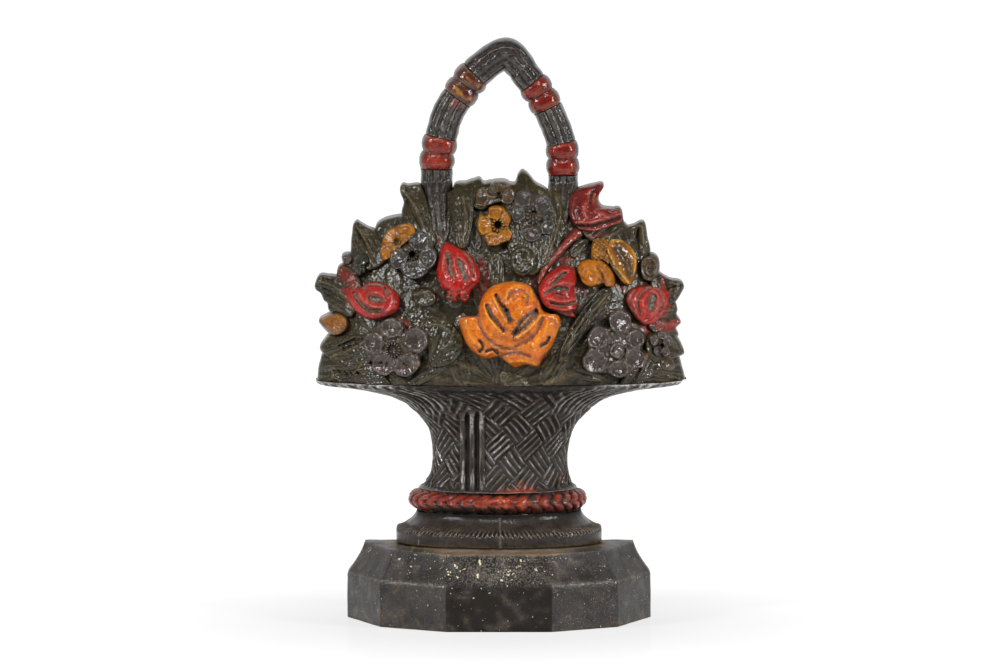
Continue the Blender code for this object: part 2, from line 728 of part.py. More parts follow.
def plate_mesh(name, outline, cutters, front, back, points, back_points):
    verts, faces = triangles_between(outline, cutters, points)
    loops = rim_loops(faces)
    loops.sort(key=lambda loop: -abs(area_of([tuple(verts[i]) for i in loop])))
    rims = [[tuple(verts[i]) for i in loop] for loop in loops]
    back_verts, back_faces = triangles_between(rims[0], rims[1:], back_points)
    bm = bmesh.new()
    fronts = {}
    for face in faces:
        for i in face:
            if i not in fronts:
                x, z = verts[i]
                fronts[i] = bm.verts.new((x, front(x, z), z))
        bm.faces.new([fronts[i] for i in face])
    backs = {}
    for face in back_faces:
        corners = []
        for i in face:
            x, z = back_verts[i]
            key = nearest_key((x, z))
            if key not in backs:
                backs[key] = bm.verts.new((x, back(x, z), z))
            corners.append(backs[key])
        bm.faces.new(list(reversed(corners)))
    for loop in loops:
        for a, b in zip(loop, loop[1:] + loop[:1]):
            bm.faces.new((fronts[b], fronts[a], backs[nearest_key(verts[a])], backs[nearest_key(verts[b])]))
    return finish_mesh(name, bm)


def seat_y(x, z):
    return bed_y(x, z) - SEAT_GAP


def back_y(x, z):
    return BACK_Y


def rim_room():
    """The space below the bed, which leaves stay out of."""
    low = RIM_Z - BED_RISE
    wide = BASKET_RIM_HALF_WIDTH + BED_RISE
    return [(-wide, low), (wide, low), (wide, BED_Z), (-wide, BED_Z)]


def split_long_edges(outline):
    """Enough points along straight stretches for the outline to follow the dome."""
    points = []
    for (x0, z0), (x1, z1) in edges_of(outline):
        parts = math.ceil(math.hypot(x1 - x0, z1 - z0) / OUTLINE_STEP)
        for part in range(parts):
            share = part / parts
            points.append((x0 + (x1 - x0) * share, z0 + (z1 - z0) * share))
    return points


TAKEN = []                  # outlines of the forms already placed, upper ones first


def relief(name, outline, rise, material, at_edge=False, pitch=PLATE_PITCH):
    """A form on the bed: it keeps clear of every form placed before it."""
    outline = split_long_edges(outline)
    cutters = [rim_room()]
    for other in TAKEN:
        room = grown(other, SEAT_GAP)
        if boxes_meet(outline, room):
            cutters.append(room)
    ring = [p for p in grown(outline, -PLATE_RING) if is_inside(outline, p)]
    points = ring + lattice(outline, pitch, PLATE_RING + pitch * 0.35)
    points = [p for p in points if all(edge_distance(cutter, p) > pitch * 0.2 for cutter in cutters)]
    back = back_y if at_edge else seat_y
    back_points = lattice(outline, BED_LATTICE, BED_LATTICE * 0.15)
    back_points = [p for p in back_points if all(edge_distance(c, p) > BED_LATTICE * 0.15 for c in cutters)]

    def front(x, z):
        return bed_y(x, z) - rise(x, z)

    mesh = plate_mesh(name, outline, cutters, front, back, points, back_points)
    item = make_object(name, mesh, material)
    if at_edge:
        cut_by_bed(item)
    TAKEN.append(outline)
    return item


def boxes_meet(first, second):
    for axis in (0, 1):
        a = [p[axis] for p in first]
        b = [p[axis] for p in second]
        if min(a) > max(b) or min(b) > max(a):
            return False
    return True


def cutter_object(name, mesh):
    cutter = bpy.data.objects.new(name, mesh)
    bpy.context.scene.collection.objects.link(cutter)
    cutter.hide_render = True
    cutter.display_type = "WIRE"
    return cutter


def cut(item, cutter, crossing=False):
    """Subtract a cutter, apply the cut and keep the largest body."""
    modifier = item.modifiers.new("clearance", "BOOLEAN")
    modifier.operation = "DIFFERENCE"
    modifier.solver = "EXACT"
    modifier.use_self = crossing
    modifier.object = cutter
    graph = bpy.context.evaluated_depsgraph_get()
    mesh = bpy.data.meshes.new_from_object(item.evaluated_get(graph))
    item.modifiers.remove(modifier)
    item.data = keep_largest_body(mesh)


def keep_largest_body(mesh):
    bm = bmesh.new()
    bm.from_mesh(mesh)
    bmesh.ops.remove_doubles(bm, verts=bm.verts[:], dist=MERGE / 10)
    bmesh.ops.triangulate(bm, faces=bm.faces[:])
    seen = set()
    bodies = []
    for face in bm.faces:
        if face in seen:
            continue
        body = []
        stack = [face]
        seen.add(face)
        while stack:
            here = stack.pop()
            body.append(here)
            for edge in here.edges:
                for other in edge.link_faces:
                    if other not in seen:
                        seen.add(other)
                        stack.append(other)
        bodies.append(body)
    bodies.sort(key=lambda body: -sum(face.calc_area() for face in body))
    spare = [face for body in bodies[1:] for face in body]
    bmesh.ops.delete(bm, geom=spare, context="FACES")
    bm.to_mesh(mesh)
    bm.free()
    return mesh


def bed_room():
    """The bed as a solid block, grown by the clearance, for cutting what wraps its edge."""
    found = bpy.data.objects.get("bed_room")
    if found:
        return found
    outline = bed_outline(SEAT_GAP, WALL)
    points = lattice(outline, BED_LATTICE, BED_LATTICE * 0.3)
    mesh = plate_mesh("bed_room", outline, [], seat_y, lambda x, z: BACK_Y + WALL, points, [])
    return cutter_object("bed_room", mesh)


def cut_by_bed(item):
    cut(item, bed_room())


def flower_bed():
    outline = bed_outline()
    points = lattice(outline, BED_LATTICE, BED_LATTICE * 0.3)
    mesh = plate_mesh("flower_bed", outline, [], bed_y, back_y, points, [])
    bed = make_object("flower_bed", mesh, olive())
    hollow = bed_outline(-WALL, WALL)
    pitch = BED_LATTICE * 1.7
    ceiling = lattice(hollow, pitch, pitch * 0.3)
    room = plate_mesh("bed_hollow", hollow, [], lambda x, z: bed_y(x, z) + WALL,
                      lambda x, z: BACK_Y + WALL, ceiling, [])
    cut(bed, cutter_object("bed_hollow", room))
    return bed


# Flowers

def dome_height(dx, dz, radius_x, radius_z, tilt, crown):
    px, pz = turned(dx, dz, -tilt)
    reach = (px / radius_x) ** 2 + (pz / radius_z) ** 2
    return crown * math.sqrt(max(0.0, 1 - reach))


def mound(name, place, lobes, material, at_edge=False, count=ROUND_POINTS, pitch=PLATE_PITCH):
    """A form of overlapping domes: each lobe is (dx, dz, radius x, radius z, tilt, crown)."""
    x0, z0 = spot(place)
    outline = union_outline((x0, z0), [lobe[:5] for lobe in lobes], count)

    def rise(x, z):
        heights = [dome_height(x - x0 - lobe[0], z - z0 - lobe[1], *lobe[2:]) for lobe in lobes]
        return EDGE_RISE + max(heights)

    return relief(name, outline, rise, material, at_edge, pitch)


def blossom(name, place, petals, eye, material, count=30, crown=PETAL_CROWN, at_edge=False):
    lobes = []
    for angle, reach, radius in petals:
        dx, dz = turned(reach, 0.0, angle)
        lobes.append((dx, dz, radius, radius, 0.0, crown))
    hub = HUB_SHARE * sum(reach for _, reach, _ in petals) / len(petals)
    lobes.append((0.0, 0.0, hub, hub, 0.0, HUB_CROWN))
    lobes.append((0.0, 0.0, eye, eye, 0.0, max(EYE_CROWN, crown)))
    return mound(name, place, lobes, material, at_edge, count, pitch=BLOSSOM_PITCH)


def orange_rose():
    lobes = [(0.0, 0.0, ROSE_RADIUS, ROSE_RADIUS, 0.0, ROSE_CROWN)]
    for angle, reach, half_length, half_width in ROSE_PETALS:
        dx, dz = turned(reach, 0.0, angle)
        lobes.append((dx, dz, half_length, half_width, angle + 90, ROSE_PETAL_CROWN))
    return mound("orange_rose", ROSE_AT, lobes, orange(), count=34, pitch=ROSE_PITCH)


def bud_lobes(length, width, tilt, crown):
    """A fat body with a narrower tip, along the direction of tilt."""
    lobes = []
    for reach, half_length, half_width, height in (BUD_BODY_SHARES, BUD_TIP_SHARES):
        dx, dz = turned(length * reach, 0.0, tilt)
        lobes.append((dx, dz, length * half_length, width * half_width, tilt, crown * height))
    return lobes


def red_rosebuds():
    middle = bud_lobes(BUD_MIDDLE_LENGTH, BUD_MIDDLE_WIDTH, BUD_MIDDLE_TILT, BUD_CROWN)
    left = bud_lobes(BUD_LEFT_LENGTH, BUD_LEFT_WIDTH, BUD_LEFT_TILT, BUD_CROWN)
    right = bud_lobes(BUD_RIGHT_LENGTH, BUD_RIGHT_WIDTH, BUD_RIGHT_TILT, BUD_CROWN)
    mound("red_rosebud_middle", BUD_MIDDLE_AT, middle, bright_red(), count=22)
    mound("red_rosebud_left", BUD_LEFT_AT, left, bright_red(), count=22)
    mound("red_rosebud_right", BUD_RIGHT_AT, right, bright_red(), at_edge=True, count=22)


def tulips():
    mound("tulip_bud", TULIP_BUD_AT, bud_lobes(TULIP_BUD_LENGTH, TULIP_BUD_WIDTH, TULIP_BUD_TILT, BUD_CROWN),
          bright_red(), count=22)
    lobes = [(0.0, 0.0, *TULIP_BODY, TULIP_TILT, TULIP_CROWN)]
    for reach, half_length, half_width, towards in (TULIP_TALL_TIP, TULIP_LOW_TIP):
        lobes.append((*turned(reach, 0.0, towards), half_length, half_width, towards, TULIP_TIP_CROWN))
    mound("tulip", TULIP_AT, lobes, rope_red(), at_edge=True, count=26)


def trumpet_flower():
    globe = []
    radius = GLOBE_RADIUS * GLOBE_LOBE_SHARE
    for angle in GLOBE_LOBES:
        dx, dz = turned(GLOBE_RADIUS - radius, 0.0, angle)
        globe.append((dx, dz, radius, radius, 0.0, GLOBE_CROWN))
    mound("trumpet_globe", GLOBE_AT, globe, orange(), count=20)
    mound("trumpet_neck", NECK_AT, [(0.0, 0.0, NECK_HALF_LENGTH, NECK_HALF_WIDTH, NECK_TILT, NECK_CROWN)],
          ochre(), count=12)
    dish = (0.0, 0.0, DISH_LENGTH / 2, DISH_WIDTH / 2, DISH_TILT, DISH_CROWN)
    mound("trumpet_dish", DISH_AT, [dish], ochre())


def small_bud(name, place, radius, material, at_edge=False):
    ball = (0.0, 0.0, radius, radius, 0.0, SMALL_BUD_CROWN)
    return mound(name, place, [ball], material, at_edge, count=12)


def small_buds():
    ochre_form = (0.0, 0.0, OCHRE_BUD_HALF_LENGTH, OCHRE_BUD_HALF_WIDTH, OCHRE_BUD_TILT, SMALL_BUD_CROWN)
    mound("ochre_bud", OCHRE_BUD_AT, [ochre_form], ochre(), at_edge=True, count=14)
    small_bud("green_bud", GREEN_BUD_AT, GREEN_BUD_RADIUS, olive())
    small_bud("grey_bud", GREY_BUD_AT, GREY_BUD_RADIUS, grey_mauve(), at_edge=True)
    small_bud("curl_bud", CURL_BUD_AT, CURL_BUD_RADIUS, grey_mauve(), at_edge=True)
    small_bud("low_bud", SMALL_BUD_AT, SMALL_BUD_RADIUS, grey_mauve(), at_edge=True)


def open_flowers():
    blossom("grey_flower_left", GREY_LEFT_AT, GREY_LEFT_PETALS, EYE_RADIUS, grey_mauve())
    blossom("grey_flower_right", GREY_RIGHT_AT, GREY_RIGHT_PETALS, EYE_RADIUS, grey_mauve(), count=34)
    blossom("pansy", PANSY_AT, PANSY_PETALS, PANSY_EYE_RADIUS, grey_mauve())
    blossom("yellow_flower_left", YELLOW_LEFT_AT, YELLOW_LEFT_PETALS, EYE_RADIUS, ochre(), count=24)
    blossom("yellow_flower_top", YELLOW_TOP_AT, YELLOW_TOP_PETALS, EYE_RADIUS, ochre())
    blossom("grey_flower_top", GREY_TOP_AT, GREY_TOP_PETALS, EYE_RADIUS, grey_mauve())
    blossom("brown_flower_top", BROWN_TOP_AT, BROWN_TOP_PETALS, EYE_RADIUS, grey_mauve(), count=22,
            at_edge=True)
    blossom("small_grey_flower", GREY_SMALL_AT, GREY_SMALL_PETALS, SMALL_EYE_RADIUS, grey_mauve(), count=20,
            at_edge=True)


# Leaves

def leaf_outline(foot, tip, width):
    """Two curved sides from foot to tip, widest before the middle."""
    (x0, z0), (x1, z1) = foot, tip
    length = math.hypot(x1 - x0, z1 - z0)
    ux = (x1 - x0) / length
    uz = (z1 - z0) / length
    sides = ([], [])
    for step in range(LEAF_POINTS + 1):
        along = step / LEAF_POINTS
        half = width / 2 * math.sin(math.pi * (LEAF_FOOT + (1 - LEAF_FOOT) * along)) ** LEAF_FULLNESS
        for side, sign in zip(sides, (1, -1)):
            reach = length * along
            side.append((x0 + ux * reach - sign * uz * half, z0 + uz * reach + sign * ux * half))
    right = sides[1][:-1]
    left = sides[0][:-1]
    return right + [tip] + list(reversed(left))


def leaf(name, shape, at_edge=False, material=None):
    foot = spot(shape[0])
    tip = spot(shape[1])
    width = shape[2]
    outline = leaf_outline(foot, tip, width)
    ux = tip[0] - foot[0]
    uz = tip[1] - foot[1]
    length = math.hypot(ux, uz)

    def rise(x, z):
        off = abs((x - foot[0]) * uz - (z - foot[1]) * ux) / length
        fold = max(0.0, 1 - 2 * off / width)
        edge = min(1.0, edge_distance(outline, (x, z)) / LEAF_EDGE_ROUND)
        return EDGE_RISE * 0.5 + EDGE_RISE * 0.5 * edge + LEAF_CROWN * fold * edge

    return relief(name, outline, rise, material or olive(), at_edge)


def oval_leaf(name, place, size, tilt):
    return mound(name, place, [(0.0, 0.0, size[0] / 2, size[1] / 2, tilt, LEAF_CROWN)], olive())


def strip_outline(start, end, width):
    (x0, z0), (x1, z1) = start, end
    length = math.hypot(x1 - x0, z1 - z0)
    nx = (z1 - z0) / length * width / 2
    nz = (x0 - x1) / length * width / 2
    return [(x0 + nx, z0 + nz), (x1 + nx, z1 + nz), (x1 - nx, z1 - nz), (x0 - nx, z0 - nz)]


def tulip_stem():
    outline = strip_outline(spot(TULIP_AT), spot(TULIP_STEM_END_AT), TULIP_STEM_WIDTH)
    return relief("tulip_stem", outline, lambda x, z: TULIP_STEM_RISE, rope_red())


def front_leaves():
    oval_leaf("oval_leaf_middle", OVAL_MIDDLE_AT, OVAL_MIDDLE_SIZE, 0)
    oval_leaf("oval_leaf_left", OVAL_LEFT_AT, OVAL_LEFT_SIZE, OVAL_LEFT_TILT)
    leaf("leaf_under_trumpet", LEAF_UNDER_TRUMPET)
    leaf("dark_leaf", LEAF_DARK)
    leaf("leaf_beside_grey", LEAF_BESIDE_GREY, at_edge=True)
    leaf("folded_leaf", LEAF_FOLDED)


def edge_leaves():
    shapes = {
        "leaf_corner_left": LEAF_CORNER_LEFT, "leaf_corner_right": LEAF_CORNER_RIGHT,
        "leaf_far_left": LEAF_FAR_LEFT, "leaf_low_left": LEAF_LOW_LEFT,
        "leaf_left_tip": LEAF_LEFT_TIP, "leaf_tall": LEAF_TALL, "leaf_round": LEAF_ROUND,
        "leaf_stem_side": LEAF_STEM_SIDE, "leaf_top": LEAF_TOP, "leaf_top_middle": LEAF_TOP_MIDDLE,
        "leaf_behind_tulip": LEAF_BEHIND_TULIP, "leaf_right_tip": LEAF_RIGHT_TIP,
        "leaf_far_right": LEAF_FAR_RIGHT, "leaf_right_middle": LEAF_RIGHT_MIDDLE,
        "leaf_low_right": LEAF_LOW_RIGHT, "leaf_inner_right": LEAF_INNER_RIGHT,
    }
    for name, shape in shapes.items():
        leaf(name, shape, at_edge=True)


# Handle: two bundles of cane, bound twice each, whose tops lean together

def smooth_path(points, step):
    """Points at an even step along a Catmull-Rom curve through the given ones."""
    ends = [tuple(2 * a - b for a, b in zip(points[0], points[1])), *points,
            tuple(2 * a - b for a, b in zip(points[-1], points[-2]))]
    fine = []
    for p0, p1, p2, p3 in zip(ends, ends[1:], ends[2:], ends[3:]):
        for part in range(PATH_PARTS):
            t = part / PATH_PARTS
            fine.append(tuple(0.5 * (2 * b + (c - a) * t + (2 * a - 5 * b + 4 * c - d) * t * t
                                     + (3 * b - a - 3 * c + d) * t ** 3)
                              for a, b, c, d in zip(p0, p1, p2, p3)))
    fine.append(points[-1])
    travelled = [0.0]
    for before, here in zip(fine, fine[1:]):
        travelled.append(travelled[-1] + math.dist(before, here))
    count = max(2, round(travelled[-1] / step))
    even = []
    place = 0
    for index in range(count + 1):
        goal = travelled[-1] * index / count
        while place < len(travelled) - 2 and travelled[place + 1] < goal:
            place += 1
        share = (goal - travelled[place]) / (travelled[place + 1] - travelled[place])
        even.append(tuple(a + (b - a) * share for a, b in zip(fine[place], fine[place + 1])))
    return even


def centre_line(points):
    return smooth_path([(x, RIM_Z + up) for x, up in points], PATH_STEP)


def line_length(line):
    return sum(math.dist(a, b) for a, b in zip(line, line[1:]))


def point_along(line, travelled):
    """Point and direction on a centre line, a given way along it."""
    step = line_length(line) / (len(line) - 1)
    place = min(len(line) - 2, max(0, int(travelled / step)))
    share = travelled / step - place
    (x0, z0), (x1, z1) = line[place], line[place + 1]
    before = line[max(0, place - 2)]
    after = line[min(len(line) - 1, place + 3)]
    direction = Vector((after[0] - before[0], after[1] - before[1])).normalized()
    return (x0 + (x1 - x0) * share, z0 + (z1 - z0) * share), direction


def cane_front(x, z):
    """A cane's front: clear of the bed's dome where it runs down over it."""
    return min(BACK_Y - CANE_THICKNESS, bed_y(x, z) - STEM_RISE)


def cane_section(width, swell, front, reed_depth):
    """Across the cane: (offset, y), round the reeded front and straight across the flat back."""
    half = width / 2 + swell
    thick = BACK_Y - front + swell
    steps = CANE_REEDS * 3
    points = [(half, BACK_Y)]
    for step in range(1, steps):
        share = step / steps
        angle = math.pi * share
        reed = reed_depth * abs(math.cos(math.pi * CANE_REEDS * share))
        across = half * math.copysign(abs(math.cos(angle)) ** CANE_SQUARENESS, math.cos(angle))
        ahead = (thick - reed) * math.sin(angle) ** CANE_SQUARENESS
        points.append((across, BACK_Y - ahead))
    return points + [(-half, BACK_Y)]


def swept_mesh(name, line, start, stop, section_at):
    """A closed section, of (offset, y) points, carried along a centre line between two lengths."""
    count = max(2, round((stop - start) / CANE_STEP))
    bm = bmesh.new()
    rings = []
    for index in range(count + 1):
        share = index / count
        (x, z), direction = point_along(line, start + (stop - start) * share)
        rings.append([bm.verts.new((x + direction.y * off, y, z - direction.x * off))
                      for off, y in section_at(share, x, z)])
    size = len(rings[0])
    for low, high in zip(rings, rings[1:]):
        for i in range(size):
            bm.faces.new((low[i], low[(i + 1) % size], high[(i + 1) % size], high[i]))
    bm.faces.new(list(reversed(rings[0])))
    bm.faces.new(rings[-1])
    return finish_mesh(name, bm)


def cane(name, line, width, start, stop, material, swell_at, reed_depth, taper=0.0):
    def section_at(share, x, z):
        here = width * (1 - taper * (1 - share))
        return cane_section(here, swell_at(share), cane_front(x, z), reed_depth)

    return make_object(name, swept_mesh(name, line, start, stop, section_at), material)


def cane_room(name, line, width, start, stop):
    """The space a stretch of cane needs, with its clearance, all the way through front to back."""
    half = width / 2 + SEAT_GAP
    section = [(half, 2 * BACK_Y), (half, -BACK_Y), (-half, -BACK_Y), (-half, 2 * BACK_Y)]
    mesh = swept_mesh(name, line, start - SEAT_GAP, stop + SEAT_GAP, lambda share, x, z: section)
    return cutter_object(name, mesh)


def no_swell(share):
    return 0.0


def binding_swell(share):
    return BINDING_SWELL * abs(math.sin(math.pi * BINDING_RINGS * share)) ** 0.5


def cane_stem(name, line, width, stop):
    stem = cane(name, line, width, 0.0, stop - SEAT_GAP / 2, black_iron(), no_swell, CANE_REED_DEPTH,
                STEM_TAPER)
    cut_by_bed(stem)
    return stem


def cane_run(name, line, width, start, stop):
    half_gap = SEAT_GAP / 2
    return cane(name, line, width, start + half_gap, stop - half_gap, black_iron(), no_swell,
                CANE_REED_DEPTH)


def binding(name, line, width, start, stop):
    half_gap = SEAT_GAP / 2
    return cane(name, line, width, start + half_gap, stop - half_gap, bright_red(), binding_swell, 0.0)


def handle_side(side, points, width, lengths):
    """Stem, lower binding, middle, upper binding and top of one cane, end to end."""
    line = centre_line(points)
    marks = [0.0]
    for length in lengths:
        marks.append(marks[-1] + length)
    stem = cane_stem(f"{side}_cane_stem", line, width, marks[1])
    binding(f"{side}_lower_binding", line, width, marks[1], marks[2])
    cane_run(f"{side}_cane_middle", line, width, marks[2], marks[3])
    binding(f"{side}_upper_binding", line, width, marks[3], marks[4])
    top = cane_run(f"{side}_cane_top", line, width, marks[4], line_length(line))
    return line, marks, stem, top


def cane_strip(line, width, stop, grow):
    """Plan outline of a stem, up to a length along it, grown by a clearance."""
    half = width / 2 + grow
    count = max(2, round(stop / STRIP_STEP))
    sides = ([], [])
    for index in range(count + 1):
        (x, z), direction = point_along(line, stop * index / count)
        shift = grow * (2 * index / count - 1)
        x += direction.x * shift
        z += direction.y * shift
        narrow = 1 - STEM_TAPER * (1 - index / count)
        for points, sign in zip(sides, (1, -1)):
            points.append((x + sign * direction.y * half * narrow, z - sign * direction.x * half * narrow))
    return sides[0] + list(reversed(sides[1]))


def prism(name, outline):
    mesh = plate_mesh(name, outline, [], lambda x, z: -BACK_Y, lambda x, z: 2 * BACK_Y, [], [])
    return cutter_object(name, mesh)


def clear_of_forms(stem, strip):
    """Cut a stem back from each form that lies over it."""
    for outline in TAKEN:
        if boxes_meet(outline, strip):
            cut(stem, prism("form_room", grown(outline, SEAT_GAP)))


def handle():
    left, left_marks, left_stem, _ = handle_side("left", LEFT_CANE, LEFT_CANE_WIDTH, LEFT_LENGTHS)
    right, right_marks, right_stem, right_top = handle_side("right", RIGHT_CANE, RIGHT_CANE_WIDTH,
                                                            RIGHT_LENGTHS)
    room = cane_room("left_top_room", left, LEFT_CANE_WIDTH, left_marks[4], line_length(left) - SEAT_GAP)
    cut(right_top, room, crossing=True)
    left_strip = cane_strip(left, LEFT_CANE_WIDTH, left_marks[1], 0.0)
    right_strip = cane_strip(right, RIGHT_CANE_WIDTH, right_marks[1], 0.0)
    clear_of_forms(left_stem, left_strip)
    clear_of_forms(right_stem, right_strip)
    TAKEN.extend((left_strip, right_strip))


def build():
    clear_scene()
    plinth()
    foot_moulding()
    rope_moulding()
    basket_body()
    flower_bed()
    orange_rose()
    red_rosebuds()
    tulips()
    open_flowers()
    trumpet_flower()
    small_buds()
    handle()
    tulip_stem()
    front_leaves()
    edge_leaves()
    bpy.context.view_layer.update()


build()
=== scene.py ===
"""Painted cast-iron flower-basket doorstop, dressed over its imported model.

Shapes are worked out in millimetres, in the model's own frame, and turned into metres when a piece is made.
The front faces -Y, the flat open back +Y, and the floor is z = 0.
"""
import math

import bmesh
import bpy
import numpy as np
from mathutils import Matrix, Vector, noise


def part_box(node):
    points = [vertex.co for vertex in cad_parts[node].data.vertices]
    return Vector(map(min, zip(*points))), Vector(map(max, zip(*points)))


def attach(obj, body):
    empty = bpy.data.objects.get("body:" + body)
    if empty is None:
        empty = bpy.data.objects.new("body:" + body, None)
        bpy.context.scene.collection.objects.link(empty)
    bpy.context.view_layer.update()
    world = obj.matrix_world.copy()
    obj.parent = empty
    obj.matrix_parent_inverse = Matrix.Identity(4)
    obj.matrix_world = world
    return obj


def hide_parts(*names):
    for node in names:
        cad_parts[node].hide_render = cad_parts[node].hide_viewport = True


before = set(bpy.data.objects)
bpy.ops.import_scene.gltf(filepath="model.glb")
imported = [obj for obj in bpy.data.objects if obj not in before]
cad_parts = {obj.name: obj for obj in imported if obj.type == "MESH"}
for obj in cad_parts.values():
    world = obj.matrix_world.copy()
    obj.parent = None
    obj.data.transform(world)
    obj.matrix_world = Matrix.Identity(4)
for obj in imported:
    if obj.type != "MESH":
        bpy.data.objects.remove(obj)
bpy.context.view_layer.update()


# Plinth. Half of a ten-sided block of grey iron, cast hollow with the rest of the doorstop, with a
# hollow-curved chamfer above its upright faces. It was dipped in black-brown paint and varnished; cream
# paint has spattered its front, and rust shows low down. Its front wall and far side walls are darkened
# as painted shade, and the front of its chamfer is darker too.

millimetre = 0.001


def node_box(name):
    """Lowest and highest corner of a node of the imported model, in millimetres."""
    low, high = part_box(name)
    return np.array(low) / millimetre, np.array(high) / millimetre


plinth_low, plinth_high = node_box("plinth")
back_y = plinth_high[1]
straight_run = 10.0
wide_y = back_y - straight_run  # the mouldings are widest here, and run straight from here to the back
wall = 5.0
plinth_half_width = plinth_high[0]
plinth_depth = wide_y - plinth_low[1]
plinth_height = plinth_high[2]
plinth_wall_height = 17.3
plinth_side = (45.2, 33.9)      # corner between the two side faces: half width, distance ahead
plinth_front_x = 20.1
plinth_setback = 6.2
chamfer_hollow = 0.8
arris_round = 0.45
plinth_columns = 421
wave_seed = 1795707533          # settles which small waves the casting has
noise.seed_set(wave_seed)


def distance_along(path):
    """Distance from the start of a polyline to each of its points."""
    return np.concatenate(([0.0], np.cumsum(np.linalg.norm(np.diff(path, axis=0), axis=1))))


def even_points(path, count):
    """Points at an even spacing along a polyline."""
    path = np.asarray(path, float)
    travelled = distance_along(path)
    goals = np.linspace(0.0, travelled[-1], count)
    return np.stack([np.interp(goals, travelled, path[:, axis]) for axis in range(path.shape[1])], axis=1)


def softened(path, reach):
    """A polyline with its corners eased, by averaging each point with its neighbours."""
    spacing = np.linalg.norm(path[1] - path[0])
    half = max(1, int(round(reach / spacing)))
    padded = np.concatenate((np.repeat(path[:1], half, axis=0), path, np.repeat(path[-1:], half, axis=0)))
    kernel = np.ones(2 * half + 1) / (2 * half + 1)
    eased = np.stack([np.convolve(padded[:, axis], kernel, mode="valid") for axis in range(2)], axis=1)
    eased[:2] = path[:2]
    eased[-2:] = path[-2:]
    return eased


def faceted_plan(setback):
    """The plinth's plan from the right side of its back to the left, drawn in evenly all round."""
    outer = [(plinth_half_width, 0.0), plinth_side, (plinth_front_x, plinth_depth),
             (-plinth_front_x, plinth_depth)]
    lines = []
    for (x0, ahead0), (x1, ahead1) in zip(outer, outer[1:]):
        length = math.hypot(x1 - x0, ahead1 - ahead0)
        normal = np.array(((ahead1 - ahead0) / length, (x0 - x1) / length))
        lines.append((normal, normal @ (x0, ahead0) - setback))
    corners = [(lines[0][1] / lines[0][0][0], 0.0)]
    for (first, first_reach), (second, second_reach) in zip(lines, lines[1:]):
        corners.append(tuple(np.linalg.solve(np.array((first, second)), (first_reach, second_reach))))
    half = [(corners[0][0], -straight_run)] + corners
    whole = half + [(-x, ahead) for x, ahead in reversed(half)]
    points = softened(even_points(whole, plinth_columns), arris_round)
    return np.column_stack((points[:, 0], wide_y - points[:, 1]))


def round_plan(half_width, depth, count, shift=0.0):
    """The same way round for a moulding: half an ellipse, with straight runs to the flat back."""
    turn = np.linspace(0.0, math.pi, 1001)
    arc = np.stack((half_width * np.cos(turn), wide_y - depth * np.sin(turn)), axis=1)
    path = np.concatenate(([(half_width, back_y)], arc, [(-half_width, back_y)]))
    points = even_points(path, count)
    points[:, 0] += shift
    return points


def level(plan, height):
    return np.column_stack((plan, np.full(len(plan), height)))


def normals_of(grid):
    """Outward unit normals of a grid whose rows go up and whose columns go from right to left."""
    normals = np.cross(np.gradient(grid, axis=0), np.gradient(grid, axis=1))
    return normals / np.maximum(np.linalg.norm(normals, axis=2, keepdims=True), 1e-9)


def pushed(grid, amount):
    return grid + normals_of(grid) * amount[..., None]


def uneven(points, amount, size):
    """The small waves of a sand casting under its paint."""
    waves = np.array([noise.noise_vector(Vector(point) / size) for point in points.reshape(-1, 3)])
    return points + waves.reshape(points.shape) * amount


def noise_at(x, y, z):
    """Smooth noise, from -1 to 1, at each point of three grids that fit together."""
    grids = np.broadcast_arrays(x, y, z)
    values = [noise.noise(Vector(point)) for point in zip(*(grid.ravel() for grid in grids))]
    return np.array(values).reshape(grids[0].shape)


def numbered(rows):
    """The number of each point of a grid of rows."""
    return np.arange(rows.shape[0] * rows.shape[1]).reshape(rows.shape[:2])


def grid_faces(index, wrap_rows=False, wrap_columns=False):
    """Four-sided faces between the numbered points of a grid."""
    if wrap_rows:
        index = np.concatenate((index, index[:1]))
    if wrap_columns:
        index = np.concatenate((index, index[:, :1]), axis=1)
    quads = np.stack((index[:-1, :-1], index[:-1, 1:], index[1:, 1:], index[1:, :-1]), axis=2)
    return quads.reshape(-1, 4).tolist()


def piece(name, rows, faces, paint, node, fields):
    """Make one closed piece from points in millimetres, and seat it on the doorstop."""
    mesh = bpy.data.meshes.new(name)
    mesh.from_pydata((rows.reshape(-1, 3) * millimetre).tolist(), [], faces)
    for field, values in fields.items():
        layer = mesh.attributes.new(field, "FLOAT", "POINT")
        layer.data.foreach_set("value", np.asarray(values, dtype=np.float32).ravel())
    bm = bmesh.new()
    bm.from_mesh(mesh)
    bmesh.ops.remove_doubles(bm, verts=bm.verts[:], dist=2e-6)
    bmesh.ops.dissolve_degenerate(bm, dist=1e-6, edges=bm.edges[:])
    bmesh.ops.recalc_face_normals(bm, faces=bm.faces[:])
    if bm.calc_volume(signed=True) < 0:
        bmesh.ops.reverse_faces(bm, faces=bm.faces[:])
    bm.to_mesh(mesh)
    bm.free()
    material, slot = paint
    mesh.materials.append(material)
    mesh.shade_smooth()
    mesh.set_sharp_from_angle(angle=math.radians(65))
    item = bpy.data.objects.new(name, mesh)
    bpy.context.scene.collection.objects.link(item)
    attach(item, "root")
    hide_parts(node)


def shell(name, rows, paint, node, fields, closed=True):
    """A wall carried round a plan, flat at the back; where closed, its last row meets its first."""
    index = numbered(rows)
    faces = grid_faces(index, wrap_rows=closed) + [index[:, 0].tolist(), index[::-1, -1].tolist()]
    piece(name, rows, faces, paint, node, fields)


def shade(tree, kind, **settings):
    made = tree.nodes.new(kind)
    for key, value in settings.items():
        setattr(made, key, value)
    return made


def plug(tree, socket, source):
    """Join a source to a socket, or set the socket where the source is a plain value."""
    if isinstance(source, bpy.types.NodeSocket):
        tree.links.new(source, socket)
    else:
        socket.default_value = source


